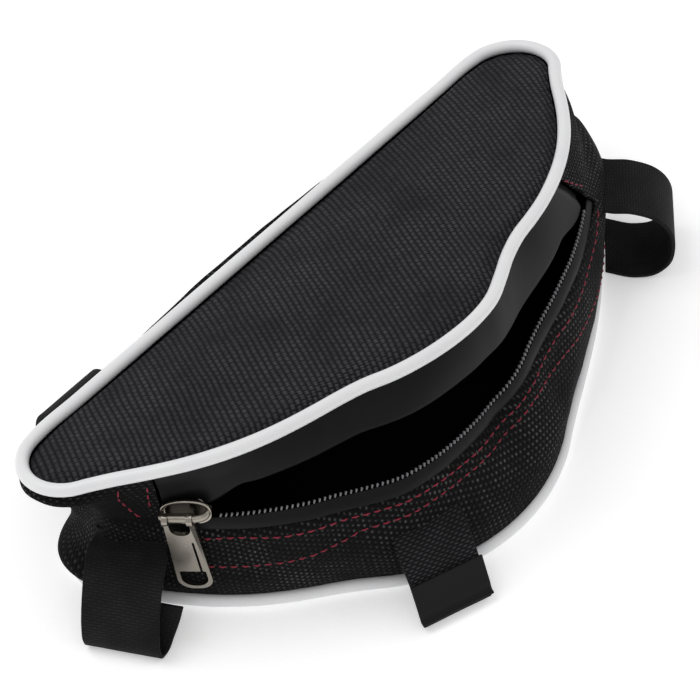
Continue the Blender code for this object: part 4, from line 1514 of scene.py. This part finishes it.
        add_modifier(tab, "WEIGHTED_NORMAL", keep_sharp=True)
        seat(tab, SATIN_METAL, Body.PULL, "zip_pull")

    def bore(self) -> bpy.types.Object:
        """Rod that clears the way for the bridge through both knuckles."""
        rod = primitive(
            bpy.ops.mesh.primitive_cylinder_add,
            vertices=40,
            radius=self.pull_bore,
            depth=self.pull_width * 1.4,
        )
        rod.data.transform(frame_matrix(np.zeros(3), *np.roll(np.eye(3), -1, axis=0)))
        return rod

    def knuckle(self, side: int) -> bpy.types.Object:
        """Ring of the pull that is rolled round the bridge."""
        width = self.knuckle_width
        place = (side * (self.pull_width / 2 - width / 2), 0.0, 0.0)
        ring = primitive(
            bpy.ops.mesh.primitive_cylinder_add,
            vertices=32,
            radius=self.pull_bore + self.pull_wall,
            depth=width,
            end_fill_type="NOTHING",
        )
        ring.data.transform(frame_matrix(np.array(place), *np.roll(np.eye(3), -1, axis=0)))
        face_outwards(ring)
        add_modifier(ring, "SOLIDIFY", thickness=self.pull_wall, offset=-1.0)
        face_outwards(ring)
        return ring

    def assemble(self) -> None:
        """Make the slider, and the pull in the direction its solid hangs."""
        self.body()
        arms = spots_of(bpy.data.objects["zip_pull"]) - self.hinge
        arms = arms - np.outer(arms @ self.along, self.along)
        self.pull(unit(arms.sum(axis=0)))


# Straps


@dataclass(frozen=True)
class StrapPlan:
    """Place and route of one strap: turn in degrees, reach and height as shares."""

    name: str
    place: float
    side: Side
    turn: float
    reach_share: float
    height_share: float
    route: tuple[tuple[float, float, float], ...]
    tucked: bool = False


# Routes: out_share, height_share, drift_share
CURLED_ROUTE = (
    (0.10, 1.00, 0.00), (0.42, 0.90, 0.02), (0.78, 0.66, 0.05), (0.97, 0.38, 0.08), (1.00, 0.16, 0.10),
    (0.93, 0.03, 0.12), (0.80, 0.03, 0.16), (0.66, 0.16, 0.20), (0.56, 0.40, 0.26), (0.50, 0.60, 0.30),
)
FLAP_ROUTE = (
    (0.05, 1.00, 0.00), (0.22, 0.86, 0.00), (0.50, 0.55, 0.00),
    (0.76, 0.22, 0.00), (0.90, 0.07, 0.00), (1.00, 0.05, 0.00),
)
LOOP_ROUTE = (
    (0.10, 1.00, 0.00), (0.45, 0.99, 0.00), (0.78, 0.88, 0.00), (0.97, 0.66, 0.00), (1.00, 0.42, 0.00),
    (0.93, 0.20, -0.04), (0.74, 0.06, -0.08), (0.45, 0.01, -0.10), (0.03, 0.01, -0.10),
)


@dataclass
class Straps:
    """Four webbing straps and the smooth patch over the end of the front one."""

    form: BagForm
    width: float = 0.025
    thickness: float = 0.0014
    solid_thickness: float = 0.0015
    reach: float = 0.020
    height: float = 0.024
    strap_gap: float = 0.0005
    sewn_length: float = 0.006
    tuck: float = 0.0022
    patch_thickness: float = 0.0010
    patch_width: float = 0.0262
    patch_start: float = 0.46
    patch_overlap: float = 0.12
    hug_reach: float = 0.6
    swell: float = 0.0002
    columns: int = 40
    rows_between: int = 8
    plans: tuple[StrapPlan, ...] = (
        StrapPlan("strap_left", 0.46, Side.BEFORE_ZIP, -7.0, 1.00, 1.00, CURLED_ROUTE, True),
        StrapPlan("strap_front", -0.42, Side.CURVED, 10.0, 0.75, 0.96, FLAP_ROUTE, True),
        StrapPlan("strap_right", 0.763, Side.CURVED, 0.0, 1.23, 1.29, LOOP_ROUTE, True),
        StrapPlan("strap_back", -0.70, Side.STRAIGHT, 0.0, 1.15, 1.33, LOOP_ROUTE),
    )

    def table(self, plan: StrapPlan) -> np.ndarray:
        """Rows of points across a strap, from its sewn end along its route."""
        form = self.form
        clear = self.solid_thickness / 2 + self.strap_gap
        seam_out = form.piping_radius + form.gap
        station = form.station(plan.place, plan.side)
        reach, height = self.reach * plan.reach_share, self.height * plan.height_share
        turn = math.radians(plan.turn)
        x, y, _ = form.out(np.array([station]))[0]
        cos, sin = math.cos(turn), math.sin(turn)
        out = np.array((x * cos - y * sin, x * sin + y * cos, 0.0))
        along = np.array((-out[1], out[0], 0.0))
        shares = np.linspace(-1.0, 1.0, self.columns + 1)
        stations = np.array([form.back.walk(station, share * self.width / 2) for share in shares])
        outs = form.out(stations)
        seam = form.back.at(stations)
        base = form.back.at(np.array([station]))[0]

        def leaving(places: np.ndarray) -> np.ndarray:
            levels = np.full(len(places), height)
            wall = form.wall(places, form.level_share(places, levels))
            return ((wall - form.back.at(places)) * form.out(places)).sum(axis=1)

        rows = []
        for level in (height + self.sewn_length, height + self.sewn_length / 2):
            levels = np.full(len(stations), level)
            depth = -self.tuck if plan.tucked else clear
            rows.append(form.wall(stations, form.level_share(stations, levels)) + outs * depth)
        wall_here, wall_each = leaving(np.array([station]))[0], leaving(stations)
        for out_share, height_share, drift_share in plan.route:
            level = self.solid_thickness / 2 + height_share * (height - self.solid_thickness / 2)
            hug = max(0.0, 1 - out_share / self.hug_reach) ** 2
            rise = level / height
            slide = shares * self.width / 2 + drift_share * self.width
            start = seam_out + (wall_here + clear - seam_out) * rise
            straight = base + out * (start + out_share * reach) + np.outer(slide, along)
            start = seam_out + (wall_each + clear - seam_out) * rise
            hugging = seam + outs * (start + out_share * reach)[:, None]
            row = straight + (hugging - straight) * hug
            row[:, 2] = level
            rows.append(row)
        return np.array(rows)

    def smooth_rows(self, rows: np.ndarray, shares: np.ndarray) -> np.ndarray:
        """Rows at given shares of the route, on a smooth curve through the table's rows."""
        steps = np.linalg.norm(np.diff(rows, axis=0), axis=2).mean(axis=1)
        lengths = running_total(steps)
        place = shares * lengths[-1]
        low = np.clip(np.searchsorted(lengths, place, side="right") - 1, 0, len(rows) - 2)
        slope = np.gradient(rows, lengths, axis=0)
        span = steps[low][:, None, None]
        t = ((place - lengths[low]) / steps[low])[:, None, None]
        leave, arrive = span * slope[low], span * slope[low + 1]
        return curve_between(t, rows[low], rows[low + 1], leave, arrive)

    def webbing(
        self, name: str, node: str, table: np.ndarray, thickness: float, finish: Finish
    ) -> bpy.types.Object:
        """Strap of a thickness that follows a table of rows."""
        steps = (len(table) - 1) * self.rows_between

        def place(across: np.ndarray, along: np.ndarray) -> np.ndarray:
            rows = self.smooth_rows(table, np.linspace(0.0, 1.0, steps + 1))
            column = np.rint(across * self.columns).astype(int)
            row = np.rint(along * steps).astype(int)
            spots = rows[row, column]
            ripple = cloth_noise(spots, 0.012, 7.0)[:, None] * self.swell
            return spots + (0.0, 0.0, 1.0) * ripple * (along > 0.15)[:, None]

        strap = grid_sheet(name, self.columns, steps, place)
        add_modifier(strap, "SOLIDIFY", thickness=thickness, offset=0.0)
        add_modifier(strap, "BEVEL", width=0.0004, segments=3, limit_method="ANGLE", angle_limit=1.0)
        smooth(strap, 50.0)
        return seat(strap, finish, Body.BAG, node)

    def assemble(self) -> None:
        """Make the straps and the patch."""
        for plan in self.plans:
            table = self.table(plan)
            flap = plan.route is FLAP_ROUTE
            finish = FLAP_WEBBING if flap else STRAP_WEBBING
            self.webbing(f"{plan.name}_webbing", plan.name, table, self.thickness, finish)
            if flap:
                self.patch(table)

    def patch(self, table: np.ndarray) -> None:
        """Smooth layer on top of the outer end of a flap."""
        lift = self.solid_thickness / 2 + self.form.gap + self.patch_thickness / 2
        first = 2 + round((len(table) - 2) * (self.patch_start - self.patch_overlap))
        rows = table[first:]
        middle = (rows[:, :1] + rows[:, -1:]) / 2
        behind = table[first - 1 : -1]
        up = unit(np.cross(rows[:, 0] - behind[:, 0], rows[:, -1] - rows[:, 0]))
        up *= np.sign(up[:, 2:3])
        rows = middle + (rows - middle) * self.patch_width / self.width + up[:, None] * lift
        name = "strap_front_patch"
        self.webbing(f"{name}_cloth", name, rows, self.patch_thickness * 0.9, PATCH_WEBBING)


@dataclass
class Stitching:
    """Dark red topstitching round the zip."""

    form: BagForm
    wall: SideWall
    pitch: float = 0.0036
    length: float = 0.0031
    radius: float = 0.00031
    rounding: int = 20
    # Lines of stitches: stations of the back seam and shares of the wall's height
    lines: tuple[tuple[tuple[float, float], ...], ...] = (
        ((11.0, 0.88), (13.2, 0.92), (15.5, 0.89), (17.0, 0.90), (18.7, 0.93), (20.5, 0.94), (22.6, 0.94),
         (25.7, 0.93), (28.1, 0.90), (30.1, 0.84), (32.9, 0.88), (33.9, 0.98)),
        ((11.2, 0.50), (12.4, 0.50), (13.8, 0.50), (15.4, 0.53), (16.7, 0.57), (18.5, 0.70), (19.2, 0.78),
         (22.0, 0.84), (23.0, 0.84), (26.1, 0.82), (28.6, 0.65), (29.9, 0.53), (33.0, 0.35), (34.5, 0.40)),
        ((8.9, 1.92), (8.7, 1.70), (8.75, 1.50), (8.9, 1.30), (9.4, 1.12)),
        ((9.8, 1.88), (9.65, 1.55), (9.65, 1.35)),
        ((33.95, 1.86), (34.1, 1.60), (34.3, 1.35)),
    )

    def stitch(self) -> bpy.types.Object:
        """One stitch: a bead of thread whose ends dive into the cloth."""
        stitch = primitive(
            bpy.ops.mesh.primitive_cylinder_add, vertices=7, radius=self.radius, depth=self.length
        )
        with editing(stitch):
            bpy.ops.mesh.subdivide(number_cuts=1)
        spots = spots_of(stitch)[:, [2, 0, 1]]
        share = spots[:, 0] / (self.length / 2)
        taper = np.sqrt(np.clip(1 - share**2 * 0.75, 0.0, 1.0))
        spots[:, 1] *= taper
        spots[:, 2] = spots[:, 2] * taper - self.radius * 1.5 * share**2
        place_spots(stitch, spots)
        face_outwards(stitch)
        smooth(stitch, 70.0)
        return stitch

    def assemble(self) -> None:
        """Sew every line on the wall's surface."""
        stitch = self.stitch()
        places = []
        for line in self.lines:
            rows = np.array(line)
            fine = np.linspace(0, len(rows) - 1, 60 * len(rows))
            stations = np.interp(fine, np.arange(len(rows)), rows[:, 0])
            shares = np.interp(fine, np.arange(len(rows)), rows[:, 1])
            width = 2 * self.rounding + 1
            stations, shares = (
                np.convolve(np.pad(values, self.rounding, mode="edge"), np.ones(width) / width, mode="valid")
                for values in (stations, shares)
            )
            run = self.wall.surface(stations, shares)
            lengths = lengths_along(run)
            for start in np.arange(0.5, int(lengths[-1] / self.pitch)) * self.pitch:
                station, share = (np.interp(start, lengths, values) for values in (stations, shares))
                probe = self.wall.surface(
                    np.array([station, station + 0.05, station]), np.array([share, share, share + 0.02])
                )
                normal = unit(np.cross(probe[1] - probe[0], probe[2] - probe[0]))
                ends = [np.array([np.interp(start + step, lengths, run[:, axis]) for axis in range(3)])
                        for step in (-0.001, 0.001)]
                along = unit(ends[1] - ends[0])
                side = unit(np.cross(normal, along))
                centre = probe[0] + normal * self.radius * 0.6
                places.append(frame_matrix(centre, along, side, np.cross(along, side)))
        seat(join_copies("zip_topstitching", stitch, places), RED_THREAD, Body.BAG)


# Studio


@dataclass
class Studio:
    """Pale floor, soft lights, near-white surroundings and the photograph's camera."""

    target: tuple[float, float, float] = (-0.004466, 0.013635, 0.025)
    camera_from: tuple[float, float, float] = (-0.4924, -0.4132, 0.7660)
    distance: float = 0.9
    lens: float = 140.55
    ambient: float = 0.62

    def camera(self) -> None:
        """Camera at the photograph's angle."""
        data = bpy.data.cameras.new("camera")
        data.lens = self.lens
        data.sensor_width = 36.0
        camera = bpy.data.objects.new("camera", data)
        bpy.context.scene.collection.objects.link(camera)
        back = Vector(self.camera_from)
        camera.location = Vector(self.target) + back * self.distance
        camera.rotation_euler = (-back).to_track_quat("-Z", "Y").to_euler()
        bpy.context.scene.camera = camera

    def light(self, name: str, place: Sequence[float], size: float, power: float) -> None:
        """Square soft light that faces the bag."""
        data = bpy.data.lights.new(name, "AREA")
        data.size = size
        data.energy = power
        light = bpy.data.objects.new(name, data)
        light.location = place
        light.rotation_euler = (Vector(self.target) - Vector(place)).to_track_quat("-Z", "Y").to_euler()
        bpy.context.scene.collection.objects.link(light)

    def assemble(self) -> None:
        """Set up the floor, lights, world and camera."""
        scene = bpy.context.scene
        scene.view_settings.view_transform = "Standard"
        self.camera()
        floor = primitive(bpy.ops.mesh.primitive_plane_add, size=60.0)
        floor.name = "studio_floor"
        floor.data.materials.append(FLOOR.material())
        self.light("key_light", (-0.35, 0.75, 1.25), 0.9, 7.0)
        self.light("fill_light", (-0.9, -0.8, 0.9), 1.0, 1.3)
        self.light("side_light", (1.0, -0.3, 0.8), 0.8, 1.6)
        world = bpy.data.worlds.new("pale_room")
        world.use_nodes = True
        background = world.node_tree.nodes["Background"]
        background.inputs["Color"].default_value = linear("#fbfbfb")
        background.inputs["Strength"].default_value = self.ambient
        scene.world = world


def main() -> None:
    """Load the frame, build every piece round it and set up the studio."""
    logging.basicConfig(level=logging.INFO, format="%(message)s")
    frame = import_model()
    form = BagForm()
    joint = frame["joints"][0]
    hinge = np.array(joint["pos_m"])
    Piping(form).assemble()
    Panels(form).assemble()
    wall = SideWall(form)
    wall.assemble()
    ZipTapes(form).assemble()
    ZipTeeth(form).assemble()
    ZipSlider(form, hinge, -unit(np.array(joint["axis"]))).assemble()
    Straps(form).assemble()
    Stitching(form, wall).assemble()
    Studio().assemble()


if __name__ == "__main__":
    main()
